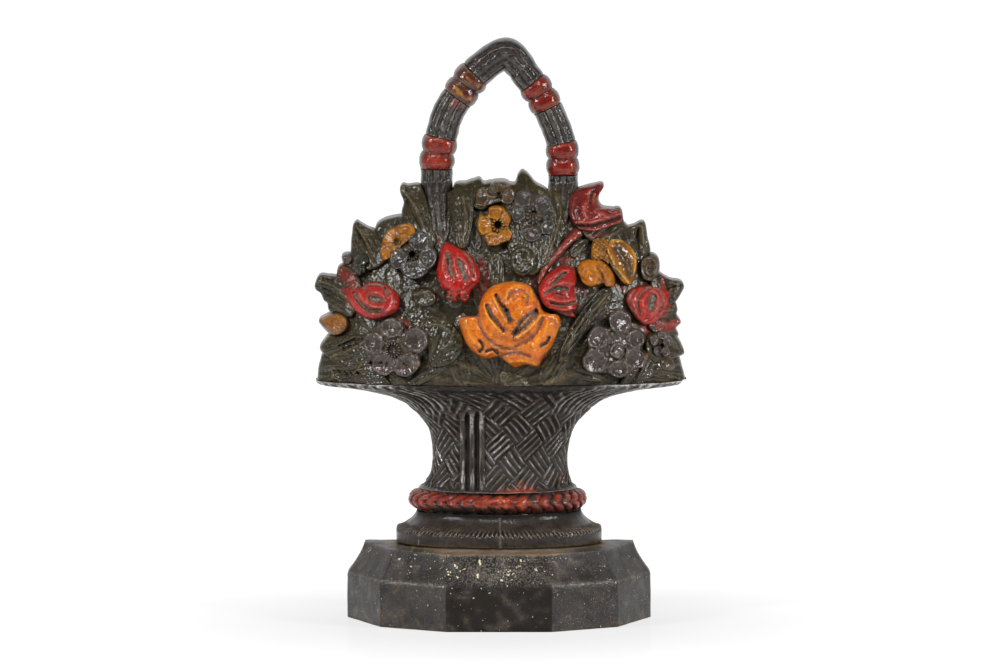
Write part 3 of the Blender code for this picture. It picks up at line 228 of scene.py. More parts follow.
def grain(tree, scale, detail=4.0, roughness=0.55, warp=0.0):
    """Noise over the metal; scale counts its features per metre."""
    made = shade(tree, "ShaderNodeTexNoise")
    plug(tree, made.inputs["Vector"], shade(tree, "ShaderNodeTexCoord").outputs["Object"])
    made.inputs["Scale"].default_value = scale
    made.inputs["Detail"].default_value = detail
    made.inputs["Roughness"].default_value = roughness
    made.inputs["Distortion"].default_value = warp
    return made.outputs["Fac"]


def between(tree, source, low, high, start=0.0, end=1.0):
    """Stretch the range low to high of a value onto start to end, and hold it there."""
    made = shade(tree, "ShaderNodeMapRange", clamp=True)
    plug(tree, made.inputs["Value"], source)
    made.inputs["From Min"].default_value = low
    made.inputs["From Max"].default_value = high
    made.inputs["To Min"].default_value = start
    made.inputs["To Max"].default_value = end
    return made.outputs["Result"]


def sum_of(tree, operation, first, second):
    """Two values added, taken away, multiplied or compared; sums stay between 0 and 1."""
    made = shade(tree, "ShaderNodeMath", operation=operation, use_clamp=operation in ("ADD", "SUBTRACT"))
    plug(tree, made.inputs[0], first)
    plug(tree, made.inputs[1], second)
    return made.outputs["Value"]


def layered(tree, factor, below, above):
    """One paint over another, as far as the factor covers it."""
    made = shade(tree, "ShaderNodeMix", data_type="RGBA")
    plug(tree, made.inputs["Factor"], factor)
    plug(tree, made.inputs["A"], below)
    plug(tree, made.inputs["B"], above)
    return made.outputs["Result"]


def field_value(tree, name):
    return shade(tree, "ShaderNodeAttribute", attribute_name=name).outputs["Fac"]


def srgb(*colour):
    """A colour as the eye reads it, 0 to 255, turned into the shader's own scale."""
    linear = [((part / 255 + 0.055) / 1.055) ** 2.4 if part > 10 else part / 255 / 12.92 for part in colour]
    return (*linear, 1.0)


# the colour of dirt, and of painted shade in hollows, creases and cut lines
dirt_and_shade_brown = srgb(30, 26, 22)
dust_tan = srgb(112, 94, 64)
cream = srgb(226, 214, 182)


def painted_iron(name, slot, colour, second, tint, worn_and_highlight, wear, chips, dirt_and_shade, gloss, coat, pebble, brush,
                 lump=820.0, deep=None, specks=False, below=(52, 47, 44)):
    """Old brush-painted iron under a lumpy varnish.

    colour and second are the two shades that the brush left; tint shows where the piece's own tint field is
    high. Dirt and painted shade darken the hollows, by how shut in they are and where the dirt_and_shade
    field is high. Edges are rubbed to the light worn_and_highlight shade, which the wear_and_highlight field
    also lays on as wear and as painted highlights, and chips show what is below. The material comes back
    paired with a slot name, which piece() unpacks and does not use.
    """
    colour, second, tint, worn_and_highlight, below = (srgb(*shade_of) for shade_of in (colour, second, tint, worn_and_highlight, below))
    material = bpy.data.materials.new(name)
    material.use_nodes = True
    tree = material.node_tree
    shader = tree.nodes["Principled BSDF"]

    # brush strokes in two shades, then the tint with a ragged edge
    streaks = between(tree, grain(tree, brush, 5.0, 0.6, warp=0.6), 0.36, 0.64)
    paint = layered(tree, streaks, colour, second)
    ragged = between(tree, grain(tree, 700.0), 0.3, 0.7, -0.14, 0.14)
    ragged = sum_of(tree, "ADD", field_value(tree, "tint"), ragged)
    paint = layered(tree, between(tree, ragged, 0.34, 0.72), paint, tint)

    # broad clouds and a fine mottle in the varnish
    cloud = between(tree, grain(tree, 90.0, 3.0), 0.3, 0.7, 0.78, 1.18)
    mottle = between(tree, grain(tree, 900.0, 5.0, 0.75), 0.34, 0.66, 0.66, 1.26)
    tone = shade(tree, "ShaderNodeHueSaturation")
    plug(tree, tone.inputs["Value"], sum_of(tree, "MULTIPLY", cloud, mottle))
    plug(tree, tone.inputs["Color"], paint)
    paint = tone.outputs["Color"]

    # chips, then wear on sharp edges, and wear and painted highlights where the wear_and_highlight field
    # says
    fleck = between(tree, grain(tree, 620.0, 6.0, 0.7), 0.60, 0.68, 0.0, chips)
    paint = layered(tree, fleck, paint, below)
    edge = between(tree, shade(tree, "ShaderNodeNewGeometry").outputs["Pointiness"], 0.515, 0.60)
    edge = sum_of(tree, "MULTIPLY", edge, between(tree, grain(tree, 380.0, 5.0), 0.35, 0.6, 0.15, wear))
    wear_and_highlight_grain = between(tree, grain(tree, 520.0, 6.0, 0.7), 0.38, 0.62)
    wear_and_highlight_amount = sum_of(tree, "MULTIPLY", field_value(tree, "wear_and_highlight"), wear_and_highlight_grain)
    paint = layered(tree, sum_of(tree, "ADD", edge, wear_and_highlight_amount), paint, worn_and_highlight)

    # dust, then dirt and painted shade in the hollows, and both where the dirt_and_shade field says
    hollow = shade(tree, "ShaderNodeAmbientOcclusion", samples=4)
    hollow.inputs["Distance"].default_value = 0.0028
    hollow_dirt_and_shade = between(tree, hollow.outputs["AO"], 0.35, 0.85, dirt_and_shade, 0.0)
    dirt_and_shade_field = field_value(tree, "dirt_and_shade")
    dusty = between(tree, hollow.outputs["AO"], 0.55, 0.92, 0.75, 0.0)
    dusty = sum_of(tree, "MULTIPLY", dusty, between(tree, grain(tree, 240.0), 0.42, 0.6))
    paint = layered(tree, dusty, paint, dust_tan)
    if deep:
        mottled = between(tree, grain(tree, 1000.0, 4.0, 0.7), 0.36, 0.60)
        paint = layered(tree, dirt_and_shade_field, paint, layered(tree, mottled, dirt_and_shade_brown, srgb(*deep)))
        hollow_dirt_and_shade = sum_of(tree, "MULTIPLY", hollow_dirt_and_shade, between(tree, dirt_and_shade_field, 0.0, 1.0, 1.0, 0.3))
        paint = layered(tree, hollow_dirt_and_shade, paint, dirt_and_shade_brown)
        hollow_dirt_and_shade = dirt_and_shade_field
    else:
        hollow_dirt_and_shade = sum_of(tree, "ADD", hollow_dirt_and_shade, dirt_and_shade_field)
        paint = layered(tree, hollow_dirt_and_shade, paint, dirt_and_shade_brown)

    # spattered paint: fine grains, and larger drops
    if specks:
        grains = between(tree, grain(tree, 1500.0, 3.0, 0.7), 0.50, 0.58)
        grains = sum_of(tree, "MULTIPLY", grains, field_value(tree, "salt"))
        paint = layered(tree, grains, paint, worn_and_highlight)
        drops = sum_of(tree, "MULTIPLY", field_value(tree, "speck"), 0.30)
        drops = sum_of(tree, "ADD", drops, grain(tree, 1050.0, 1.0, 0.5))
        paint = layered(tree, between(tree, drops, 0.74, 0.775), paint, cream)
    plug(tree, shader.inputs["Base Color"], paint)

    # varnish, duller where dirt and painted shade lie
    dull = between(tree, grain(tree, 300.0), 0.3, 0.7, gloss, gloss + 0.22)
    dull = sum_of(tree, "ADD", dull, sum_of(tree, "MULTIPLY", hollow_dirt_and_shade, 0.25))
    plug(tree, shader.inputs["Roughness"], dull)
    shader.inputs["Specular IOR Level"].default_value = 0.12
    plug(tree, shader.inputs["Coat Weight"], between(tree, hollow_dirt_and_shade, 0.0, 1.0, coat, 0.15 * coat))
    shader.inputs["Coat Roughness"].default_value = 0.05
    shader.inputs["Coat IOR"].default_value = 1.5

    # lumps in the varnish, and fine pits
    lumps = shade(tree, "ShaderNodeBump")
    lumps.inputs["Strength"].default_value = 1.0
    lumps.inputs["Distance"].default_value = 0.18 * pebble / lump
    plug(tree, lumps.inputs["Height"], grain(tree, lump, 1.5, 0.4))
    fine = shade(tree, "ShaderNodeBump")
    fine.inputs["Strength"].default_value = 1.0
    fine.inputs["Distance"].default_value = 0.00006 * pebble
    plug(tree, fine.inputs["Height"], grain(tree, 1900.0, 2.0, 0.5))
    plug(tree, fine.inputs["Normal"], lumps.outputs["Normal"])
    plug(tree, shader.inputs["Normal"], fine.outputs["Normal"])
    plug(tree, shader.inputs["Coat Normal"], fine.outputs["Normal"])
    return material, slot


plinth_paint = painted_iron("plinth_black_brown", "black_brown_iron", (46, 43, 41), (70, 65, 62),
    tint=(124, 98, 68), worn_and_highlight=(146, 138, 126), wear=0.45, chips=0.5, dirt_and_shade=0.5, gloss=0.40, coat=0.5,
    pebble=2.2, lump=1700.0, brush=120.0, specks=True, below=(88, 80, 74))

plinth_rows = []
for height, setback in ((0.0, 0.3), (0.1, 0.1), (0.4, 0.0)):
    plinth_rows.append(level(faceted_plan(setback), height))
for height in np.linspace(1.2, plinth_wall_height - 0.7, 14):
    plinth_rows.append(level(faceted_plan(0.0), height))
for share in np.linspace(0.0, 1.0, 15):
    rise = (plinth_height - plinth_wall_height) * share
    draw = plinth_setback * share + chamfer_hollow * math.sin(math.pi * share)
    lip = 0.25 * math.exp(-(share / 0.04) ** 2)
    plinth_rows.append(level(faceted_plan(draw + lip), plinth_wall_height + rise))
top_setback = plinth_setback + 0.9
for setback, drop in ((plinth_setback + 0.35, 0.06), (top_setback, 0.0)):
    plinth_rows.append(level(faceted_plan(setback), plinth_height - drop))
foot_low, foot_high = node_box("foot_moulding")
foot_half_width = foot_high[0]
foot_depth = wide_y - foot_low[1]
foot_bore = round_plan(foot_half_width - wall, foot_depth - wall, plinth_columns)
outer_top = faceted_plan(top_setback)
for share in np.linspace(0.12, 1.0, 10):
    plinth_rows.append(level(outer_top + (foot_bore - outer_top) * share, plinth_height))
shown_rows = len(plinth_rows)
plinth_rows.append(level(foot_bore, plinth_height - wall))
inner_top = faceted_plan(plinth_setback + wall)
for share in np.linspace(0.2, 1.0, 4):
    plinth_rows.append(level(foot_bore + (inner_top - foot_bore) * share, plinth_height - wall))
for share in (0.75, 0.5, 0.25, 0.0):
    inner = faceted_plan(wall + plinth_setback * share)
    plinth_rows.append(level(inner, (plinth_height - wall) * share))
plinth_rows = np.array(plinth_rows)
plinth_x, plinth_y, plinth_z = np.moveaxis(plinth_rows, 2, 0)
row_number = np.arange(len(plinth_rows))[:, None]
shown = row_number < shown_rows
off_middle = np.abs(plinth_x)
spatter_places = [
    # x and height of each patch of spattered paint, its radius and its strength
    (3.3, 22.3, 1.5, 0.95), (5.4, 21.9, 1.0, 0.9), (8.6, 26.0, 0.7, 0.8), (7.4, 23.9, 0.8, 0.8),
    (-7.2, 25.6, 1.1, 0.85),
    (-16.4, 24.6, 1.2, 0.75), (-19.3, 21.8, 0.9, 0.9), (-15.4, 20.3, 0.8, 0.6), (-13.3, 23.5, 0.9, 0.6),
    (-9.3, 23.4, 0.8, 0.7), (-7.9, 20.9, 0.8, 0.75), (-26.6, 23.0, 1.3, 0.6), (-33.4, 23.8, 0.7, 0.8),
    (-32.8, 28.2, 0.8, 0.8), (-28.2, 28.3, 0.7, 0.7), (-37.5, 25.9, 0.8, 0.8), (-40.5, 27.0, 0.9, 0.6),
    (-33.8, 21.4, 0.8, 0.6), (-49.5, 26.8, 0.8, 0.7), (-46.6, 22.8, 0.6, 0.6), (38.8, 22.9, 1.1, 0.8),
    (31.5, 22.6, 0.7, 0.6),
    (19.8, 27.2, 0.7, 0.7), (-4.0, 15.6, 0.8, 0.75), (-9.8, 13.2, 0.8, 0.6), (-5.6, 12.0, 0.8, 0.55),
    (-1.2, 16.8, 0.6, 0.6),
    (1.2, 19.6, 0.9, 0.6), (-22.5, 19.3, 1.2, 0.45), (14.5, 23.5, 1.6, 0.45), (-31.0, 9.2, 0.7, 0.7),
    (49.5, 25.0, 0.7, 0.6)]
spattered = np.zeros_like(plinth_x)
for x, z, radius, strength in spatter_places:
    distance = np.hypot(plinth_x - x, plinth_z - z)
    spattered = np.maximum(spattered, strength * np.exp(-(distance / radius) ** 2))
over_front = np.clip((plinth_front_x + 14 - off_middle) / 14, 0, 1) * np.clip((plinth_z - 16) / 3, 0.02, 1)
# darker faces: the front wall and the far side walls as painted shade, the front of the chamfer darker too
darker_chamfer_front = np.clip((plinth_front_x + 26 - off_middle) / 10, 0, 1) * np.clip((plinth_z - 17) / 2, 0, 1)
shaded_front_wall = off_middle < plinth_front_x
shaded_far_sides = np.clip((off_middle - plinth_front_x - 24) / 2, 0, 1)
darkened = np.maximum.reduce((0.6 * darker_chamfer_front, 0.85 * shaded_front_wall, 0.3 * shaded_far_sides))
rust = noise_at(plinth_x / 5, plinth_y / 5, plinth_z / 4)
low_down = np.clip(1 - plinth_z / 8, 0, 1)
from_foot = np.hypot(plinth_x / foot_half_width, (plinth_y - wide_y) / foot_depth)
on_top = (plinth_z > plinth_height - 0.5) * (plinth_y < wide_y + 2)
round_foot = np.exp(-((from_foot - 1.06) / 0.07) ** 2) * on_top
wall_top = np.exp(-((plinth_z - plinth_wall_height) / 0.45) ** 2)
top_line = np.exp(-((plinth_height - plinth_z) / 0.9) ** 2) * np.clip((38 - off_middle) / 16, 0, 1)
top_line = top_line * (plinth_y < wide_y - 9) * shown
darkened_faces = darkened * (1 - np.clip(1.5 * rust, 0, 0.7)) * (plinth_y < wide_y) * shown * (1 - top_line)
# the dirt_and_shade field holds the darker faces, and darkens the inside of the hollow a little
plinth_fields = {
    "speck": (spattered + 0.08 * over_front - 0.05) * (plinth_y < wide_y) * shown,
    "salt": 0.5 * np.clip(over_front, 0.03, 1) * np.exp(-((plinth_x - 1) / 22) ** 2) * shown,
    "dirt_and_shade": np.where(row_number > shown_rows, 0.45, darkened_faces),
    "tint": np.maximum.reduce((round_foot, np.clip(rust * 0.9 + 0.2 * low_down, 0, 0.40), 0.75 * top_line)),
    "wear_and_highlight": 0.55 * wall_top * np.clip(off_middle - plinth_front_x, 0, 1) * (plinth_y < wide_y)}
moved = uneven(plinth_rows, 0.22, 7.0)
moved[..., 2] = np.where(plinth_z < 0.3, plinth_z, moved[..., 2])
moved[..., 1] = np.where(plinth_y > back_y - 0.5, plinth_y, moved[..., 1])
shell("plinth_block", moved, plinth_paint, "plinth", plinth_fields)


# Foot moulding. A half-round band of the same casting, with a row of small punched teeth along its upper
# edge and a cove above it. A raised seam stands at the middle, where the two halves of the pattern met.

foot_columns = 601
band_height = 5.7
band_top = foot_low[2] + band_height
teeth_pitch = 1.78
seam_x = 0.4
foot_paint = painted_iron("foot_black_brown", "black_brown_iron", (40, 36, 33), (62, 53, 46),
    tint=(122, 96, 62), worn_and_highlight=(150, 136, 118), wear=0.55, chips=0.2, dirt_and_shade=0.85, gloss=0.32, coat=0.6,
    pebble=1.1, lump=1400.0, brush=200.0)


def arc_place(plan):
    """Way round a plan from the middle of its front, positive to the right."""
    travelled = distance_along(plan)
    return (travelled[-1] / 2 - travelled)[None, :]


foot_profile = [(foot_low[2], 0.5), (foot_low[2] + 0.3, 0.12), (foot_low[2] + 0.8, 0.0)]
foot_profile += [(height, 0.0) for height in np.linspace(foot_low[2] + 1.4, band_top - 1.4, 14)]
for rise, draw in ((-0.6, 0.06), (-0.25, 0.25), (0.05, 0.6), (0.35, 1.1)):
    foot_profile.append((band_top + rise, draw))
cove_height = foot_high[2] - band_top
cove_setback = 7.9
for turn in np.linspace(0.16, 1.0, 18) * math.pi / 2:
    height = band_top + cove_height * (1 - math.cos(turn)) ** 0.78
    foot_profile.append((height, cove_setback * math.sin(turn) ** 1.12))
foot_rows = np.array([level(round_plan(foot_half_width - draw, foot_depth - draw, foot_columns), height)
                      for height, draw in foot_profile])
way_round = arc_place(foot_rows[0][:, :2])
height_there = foot_rows[..., 2]
in_row = np.exp(-((height_there - (band_top + 0.15)) / 1.15) ** 4)
lean = (height_there - band_top) * 0.35 * np.sign(way_round)
tooth = 0.5 + 0.5 * np.cos(2 * math.pi * (way_round + lean) / teeth_pitch)
irregular = 0.65 + 0.6 * noise_at(way_round / 5, 3.1, 0)
punched = -1.15 * in_row * tooth ** 1.6 * irregular
seam_fall = (foot_rows[..., 0] - seam_x) ** 2
seam = 0.45 * np.exp(-seam_fall / 0.45 ** 2) * (foot_rows[..., 1] < 0)
foot_front = uneven(pushed(foot_rows, punched + seam), 0.16, 5.0)
# the punched teeth and the top of the cove under the rope are darkened: dirt and painted shade
foot_fields = {
    "dirt_and_shade": 0.75 * in_row * tooth ** 2 + 0.9 * np.exp(-((foot_high[2] - height_there) / 1.5) ** 2),
    "wear_and_highlight": 0.45 * in_row * (1 - tooth) ** 3 * irregular
    + 0.5 * np.exp(-seam_fall / 0.5 ** 2) * (foot_rows[..., 1] < 0),
    "tint": 0.85 * np.exp(-((height_there - foot_low[2]) / 1.1) ** 2)}


def moulding(name, front, hollow, paint, node, fields, darker_inside=0.0):
    """An outer face joined to the hollow behind it, whose rows are (half width, depth, shift, height)."""
    columns = front.shape[1]
    inner = np.array([level(round_plan(width, depth, columns, shift), height)
                      for width, depth, shift, height in hollow])
    rows = np.concatenate((front, inner))
    rows[..., 1] = np.where(rows[..., 1] > back_y - 0.4, back_y, rows[..., 1])
    full = {}
    for field, values in fields.items():
        # the inside of the hollow is darkened as far as darker_inside says
        inside = np.full(inner.shape[:2], darker_inside if field == "dirt_and_shade" else 0.0)
        full[field] = np.concatenate((np.broadcast_to(values, front.shape[:2]), inside))
    shell(name, rows, paint, node, full)


top_draw = cove_setback + wall
foot_hollow = [(foot_half_width - top_draw, foot_depth - top_draw, 0.0, foot_high[2]),
               (foot_half_width - wall, foot_depth - wall, 0.0, foot_low[2])]
moulding("foot_band", foot_front, foot_hollow, foot_paint, "foot_moulding", foot_fields)


# Rope moulding. A half-round roll cast with a plaited lay, its strands meeting in arrowheads that point
# left. It is painted dull red, bright and worn in the middle, and its underside was missed by the brush.

rope_low, rope_high = node_box("rope_moulding")
rope_half_width = rope_high[0] - 0.2
rope_depth = wide_y - rope_low[1]
rope_radius = (rope_high[2] - rope_low[2]) / 2
rope_slump = 0.83               # the roll is a little flatter than half a circle
rope_columns = 521
rope_steps = 34
strand_pitch = 5.2
rope_spine = 0.12               # share of the radius by which the arrowheads' tips lie above the middle
rope_shift = -0.5               # the roll sits a little to the left on the casting
rope_paint = painted_iron("rope_dull_red", "dull_red_paint", (148, 34, 24), (102, 42, 32),
    tint=(56, 46, 38), worn_and_highlight=(208, 104, 56), wear=0.5, chips=0.35, dirt_and_shade=0.9, gloss=0.26, coat=0.7,
    pebble=1.2, brush=420.0)
rope_rows = []
for step in range(rope_steps + 1):
    turn = math.pi * (step / rope_steps - 0.5)
    flattened = 1.0 if step in (0, rope_steps) else rope_slump
    draw = rope_radius * (1 - math.cos(turn))
    plan = round_plan(rope_half_width - draw, rope_depth - draw, rope_columns, rope_shift)
    rope_rows.append(level(plan, rope_low[2] + rope_radius * (1 + flattened * math.sin(turn))))
rope_rows = np.array(rope_rows)
way_round = arc_place(round_plan(rope_half_width, rope_depth, rope_columns))
tilt = np.linspace(-1.0, 1.0, rope_steps + 1)[:, None]
phase = (-way_round + 4.6 * np.abs(tilt - rope_spine)) / strand_pitch
strand = np.abs(np.sin(math.pi * phase)) ** 0.5
patches = noise_at(way_round / 4, tilt * 1.5, 9)
worn_middle = np.exp(-((way_round - 3) / 13) ** 2) * np.exp(-((tilt - 0.15) / 0.6) ** 2)
depth_there = 0.85 * (1 - 0.75 * worn_middle) * (np.abs(tilt) < 0.97)
rope_front = pushed(rope_rows, (strand - 1.0) * depth_there)
spine = np.exp(-((tilt - rope_spine) / 0.07) ** 2)
rope_front = uneven(pushed(rope_front, -0.35 * spine * (1 - worn_middle)), 0.2, 3.0)
under = np.clip((-0.04 - tilt) / 0.16, 0, 1)
missed = np.clip((way_round + 32) / 5, 0, 1) * np.clip((9 - way_round) / 6, 0, 1)
right_half = np.clip((way_round - 1) / 10, 0, 1) * np.clip((36 - way_round) / 8, 0, 1)
# darker between the strands, dirt and painted shade; the worn middle is rubbed bright, and the crests of the
# strands towards the ends carry painted highlights
rope_fields = {
    "dirt_and_shade": 0.9 * (1 - strand) * (1 - 0.8 * worn_middle),
    "tint": np.maximum(under * missed, np.clip(1.4 * patches + 0.38, 0, 0.75) * right_half),
    "wear_and_highlight": 0.95 * worn_middle * np.clip(0.55 - 1.6 * patches, 0, 1) * (way_round > -9)
    + 0.35 * strand ** 8 * np.clip((np.abs(way_round + 2) - 22) / 8, 0, 1)}
rope_hollow = [(rope_half_width - rope_radius - wall, rope_depth - rope_radius - wall, rope_shift, height)
               for height in (rope_high[2], rope_low[2])]
moulding("rope_roll", rope_front, rope_hollow, rope_paint, "rope_moulding", rope_fields)


# Basket. A waisted half-round shell, carved in the pattern with a plaited weave of short parallel strokes
# and three upright canes left of the middle; it flares into a thin wide rim whose edge is rubbed bright.
# The ribbed sides of the flare are lightened as painted highlight, thin painted glints run along the strokes
# and the canes, and the middle of the rim is darkened as painted shade.

basket_low, basket_high = node_box("basket_body")
basket_profile = [
    # height, half width and depth of the outer face
    (basket_low[2], 29.9, 22.6), (51.0, 28.2, 21.4), (52.5, 27.3, 20.5), (54.2, 26.6, 19.8),
    (57.6, 25.8, 19.0),
    (62.5, 25.6, 18.8), (67.6, 26.2, 19.2), (71.1, 27.0, 19.9), (73.4, 28.1, 20.5), (75.7, 29.7, 21.2),
    (78.0, 31.8, 22.1),
    (80.3, 34.4, 23.1), (82.6, 37.3, 24.2), (83.8, 39.9, 24.7), (85.0, 42.7, 25.3), (86.2, 47.4, 26.0),
    (87.4, 53.2, 27.0),
    (88.5, 61.0, 28.2), (89.2, 67.4, 28.9), (89.8, basket_high[0] - 1.5, 29.2),
    (90.3, basket_high[0] - 0.9, 29.3),
    (basket_high[2], basket_high[0] - 0.7, 29.3)]
shift_heights = (50.0, 56.0, 64.0, 75.0, 83.0, 90.0)
shifts = (-0.3, 0.3, 0.5, 0.9, 0.9, 0.1)      # the casting stands a little to the right of its foot here
basket_columns = 401
basket_steps = 210
cell = 8.8
strokes_in_cell = 4
stroke_crest = 0.68             # share of a stroke's width at which its ridge stands highest


def curve_between(ends, steps):
    """A Catmull-Rom curve through the given points, without the first and the last of them."""
    t = np.linspace(0, 1, steps, endpoint=False)[:, None]
    fine = []
    for p0, p1, p2, p3 in zip(ends, ends[1:], ends[2:], ends[3:]):
        fine.append(0.5 * (2 * p1 + (p2 - p0) * t + (2 * p0 - 5 * p1 + 4 * p2 - p3) * t ** 2
                           + (3 * p1 - p0 - 3 * p2 + p3) * t ** 3))
    return np.concatenate(fine + [ends[-2:-1]])


def smooth_through(points, count):
    """Points at an even spacing on a smooth curve through the given ones."""
    points = np.asarray(points, float)
    ends = np.concatenate(([2 * points[0] - points[1]], points, [2 * points[-1] - points[-2]]))
    return even_points(curve_between(ends, 40), count)


basket_curve = smooth_through(basket_profile, basket_steps)
basket_rows = np.array([
    level(round_plan(width, depth, basket_columns, np.interp(height, shift_heights, shifts)), height)
    for height, width, depth in basket_curve])
waist = (26.1, 18.8)             # half width and depth
round_waist = arc_place(round_plan(*waist, basket_columns))
up = distance_along(basket_curve[:, (0, 2)])[:, None]
swayed = round_waist + 0.9 * np.sin(up / 5.5)
first = (swayed * 0.76 + up * 0.65 + 1.5) / cell
second = (-swayed * 0.76 + up * 0.65 + 0.5) / cell
leaning = (np.floor(first) + np.floor(second)) % 2
inside_first = first - np.floor(first)
inside_second = second - np.floor(second)
stroke = np.where(leaning > 0.5, inside_first, inside_second)
across_cell = np.where(leaning > 0.5, inside_second, inside_first)
slope = strokes_in_cell * stroke - np.floor(strokes_in_cell * stroke)
ridge = np.minimum(slope / stroke_crest, (1 - slope) / (1 - stroke_crest)) ** 0.8
cushion = np.sin(math.pi * np.clip(across_cell, 0, 1)) ** 0.5
weave = 0.95 * (ridge - 1) * (0.45 + 0.55 * cushion) - 0.40 * (1 - cushion) + 0.25
height_there = basket_rows[..., 2]
cane_places = (-14.0, -10.3, -6.6)
x_there = np.where(basket_rows[..., 1] < wide_y, basket_rows[..., 0], 1e3)
near_canes = np.exp(-((x_there - cane_places[1]) / 5.3) ** 8) * np.clip((82.0 - height_there) / 4, 0, 1)
upright = sum(np.exp(-((x_there - place) / 1.15) ** 4) for place in cane_places)
wobble = noise_at(round_waist / 3, height_there / 4, 7)
weave = weave * (1 - near_canes) + near_canes * (1.3 * upright - 1.0)
fade = np.clip((height_there - basket_low[2] - 0.4) / 1.4, 0, 1) * np.clip((89.2 - height_there) / 1.5, 0, 1)
shallow = 1 - 0.25 * np.clip((height_there - 79) / 6, 0, 1)
carved = weave * fade * shallow * (1 + 0.5 * wobble)
swept = np.clip((np.abs(round_waist) - 13) / 6, 0, 1) * np.clip((height_there - 77) / 5, 0, 1)
swept = swept * np.clip((basket_high[2] - 0.3 - height_there) / 1.0, 0, 1)
rib = 0.5 + 0.5 * np.cos(2 * math.pi * (round_waist + 0.5 * wobble) / 2.3)
carved = carved * (1 - 0.75 * swept)
ribs = 0.55 * swept * (rib - 1)
basket_front = pushed(basket_rows, carved + ribs)
out_at_side = np.clip((np.abs(round_waist) - 17) / 6, 0, 1)
top_edge = np.clip((height_there - basket_high[2] + 0.45) / 0.35, 0, 1)
rim_band = np.clip((height_there - 88.2) / 1.2, 0, 1)
streaky = noise_at(round_waist / 1.2, height_there / 9, 5)
# the rim's sides lightened in streaks: wear and painted highlight
scuffed_and_highlighted = rim_band * out_at_side * np.clip(0.55 + 2.2 * streaky, 0, 1)
# painted glints: a thin light line along the ridge of each stroke and down each upright cane, fainter low
# down
painted_glint = np.exp(-((slope - stroke_crest) / 0.09) ** 2) * cushion * (1 - near_canes) * (1 - swept)
painted_glint = painted_glint + near_canes * upright ** 6
higher = 0.35 + 0.65 * np.clip((height_there - 52) / 8, 0, 1)
red_splash = np.exp(-((round_waist - 8) / 9) ** 2 - ((height_there - 50) / 5.0) ** 2)
red_splash += 0.8 * np.exp(-((round_waist - 26) / 3) ** 2 - ((height_there - 55) / 5.0) ** 2)
# dirt and painted shade in the grooves and between the flare's ribs, and painted shade on the middle of the
# rim; the ribs' crests lightened as painted highlight
basket_fields = {
    "dirt_and_shade": np.maximum(np.clip(-carved * 1.2 - 0.12, 0, 0.95) + 0.75 * swept * (1 - rib) ** 2,
                       (0.6 * rim_band + 0.4 * top_edge) * (1 - out_at_side)),
    "wear_and_highlight": np.maximum(top_edge * out_at_side, scuffed_and_highlighted)
    + 1.3 * swept * rib ** 3 * np.clip(0.7 + 1.8 * streaky, 0, 1)
    + painted_glint * fade * higher * np.clip(0.02 + 2.6 * streaky, 0, 1),
    "tint": np.clip(red_splash * (0.62 + 0.8 * wobble), 0, 1)}
# its light worn_and_highlight shade serves the rubbed rim and the painted glints and highlights
basket_paint = painted_iron("basket_black_brown", "black_brown_iron", (38, 34, 31), (56, 47, 40),
    tint=(146, 62, 42), worn_and_highlight=(216, 212, 206), wear=0.4, chips=0.2, dirt_and_shade=0.85, gloss=0.30, coat=0.6,
    pebble=0.8, lump=1100.0, brush=300.0)


def hollow_at(height):
    """Inner half width and depth at a height: one wall inside the outer face everywhere."""
    drops = np.linspace(-wall, wall, 41)
    levels = height + drops
    usable = (levels >= basket_low[2]) & (levels <= basket_high[2])
    insets = np.sqrt(wall ** 2 - drops[usable] ** 2)
    widths = np.interp(levels[usable], basket_curve[:, 0], basket_curve[:, 1]) - insets
    depths = np.interp(levels[usable], basket_curve[:, 0], basket_curve[:, 2]) - insets
    return widths.min(), depths.min()


basket_hollow = [(*hollow_at(height), np.interp(height, shift_heights, shifts), height)
                 for height in np.linspace(basket_high[2], basket_low[2], 24)]
on_front_rim = rim_band[..., None] * (1 - out_at_side[..., None]) > 0.2
basket_front = uneven(np.where(on_front_rim, uneven(basket_front, 0.35, 1.8), basket_front), 0.12, 5.0)
basket_front[..., 2] = np.minimum(basket_front[..., 2], basket_high[2] + 0.1)
moulding("basket_woven", basket_front, basket_hollow, basket_paint, "basket_body", basket_fields,
         darker_inside=0.4)


# Flower bed. A domed shell, part of the same casting and open behind, whose face is carved with small
# overlapping leaves. It is painted a dark olive that has worn to tan on the leaf edges.

bed_low, bed_high = node_box("flower_bed")
bed_foot = bed_low[2]
bed_half_width = bed_high[0]
bed_rise = bed_high[2] - bed_foot
bed_crown = wide_y - bed_low[1]
bed_spread = 1.07
bed_power = 2.7
olive_paint = painted_iron("leaf_olive", "olive_green_paint", (52, 45, 22), (34, 31, 18),
    tint=(134, 36, 26), worn_and_highlight=(122, 104, 70), wear=0.45, chips=0.45, dirt_and_shade=0.7, gloss=0.22, coat=0.8,
    pebble=1.5, lump=1000.0, brush=420.0, below=(94, 84, 44))


def bed_front(x, z):
    reach = np.hypot(x / (bed_half_width * bed_spread), (z - bed_foot) / (bed_rise * bed_spread))
    return wide_y - bed_crown * (1 - np.minimum(reach, 1.0) ** bed_power)


def random_leaves(seed, count):
    """Leaves that fan out from the foot of the bed: place, direction, half length, half width and height."""
    pick = np.random.default_rng(seed)
    turn = math.pi * (np.arange(count) * 0.618 % 1.0)
    reach = np.sqrt((np.arange(count) + 0.5) / count) * 0.94
    x = bed_half_width * reach * np.cos(turn)
    z = bed_foot + bed_rise * reach * np.sin(turn)
    direction = turn + pick.uniform(-0.9, 0.9, count)
    return np.stack((x, z, direction, pick.uniform(6.0, 10.0, count), pick.uniform(2.6, 4.4, count),
                     pick.uniform(0.0, 0.9, count)), axis=1)


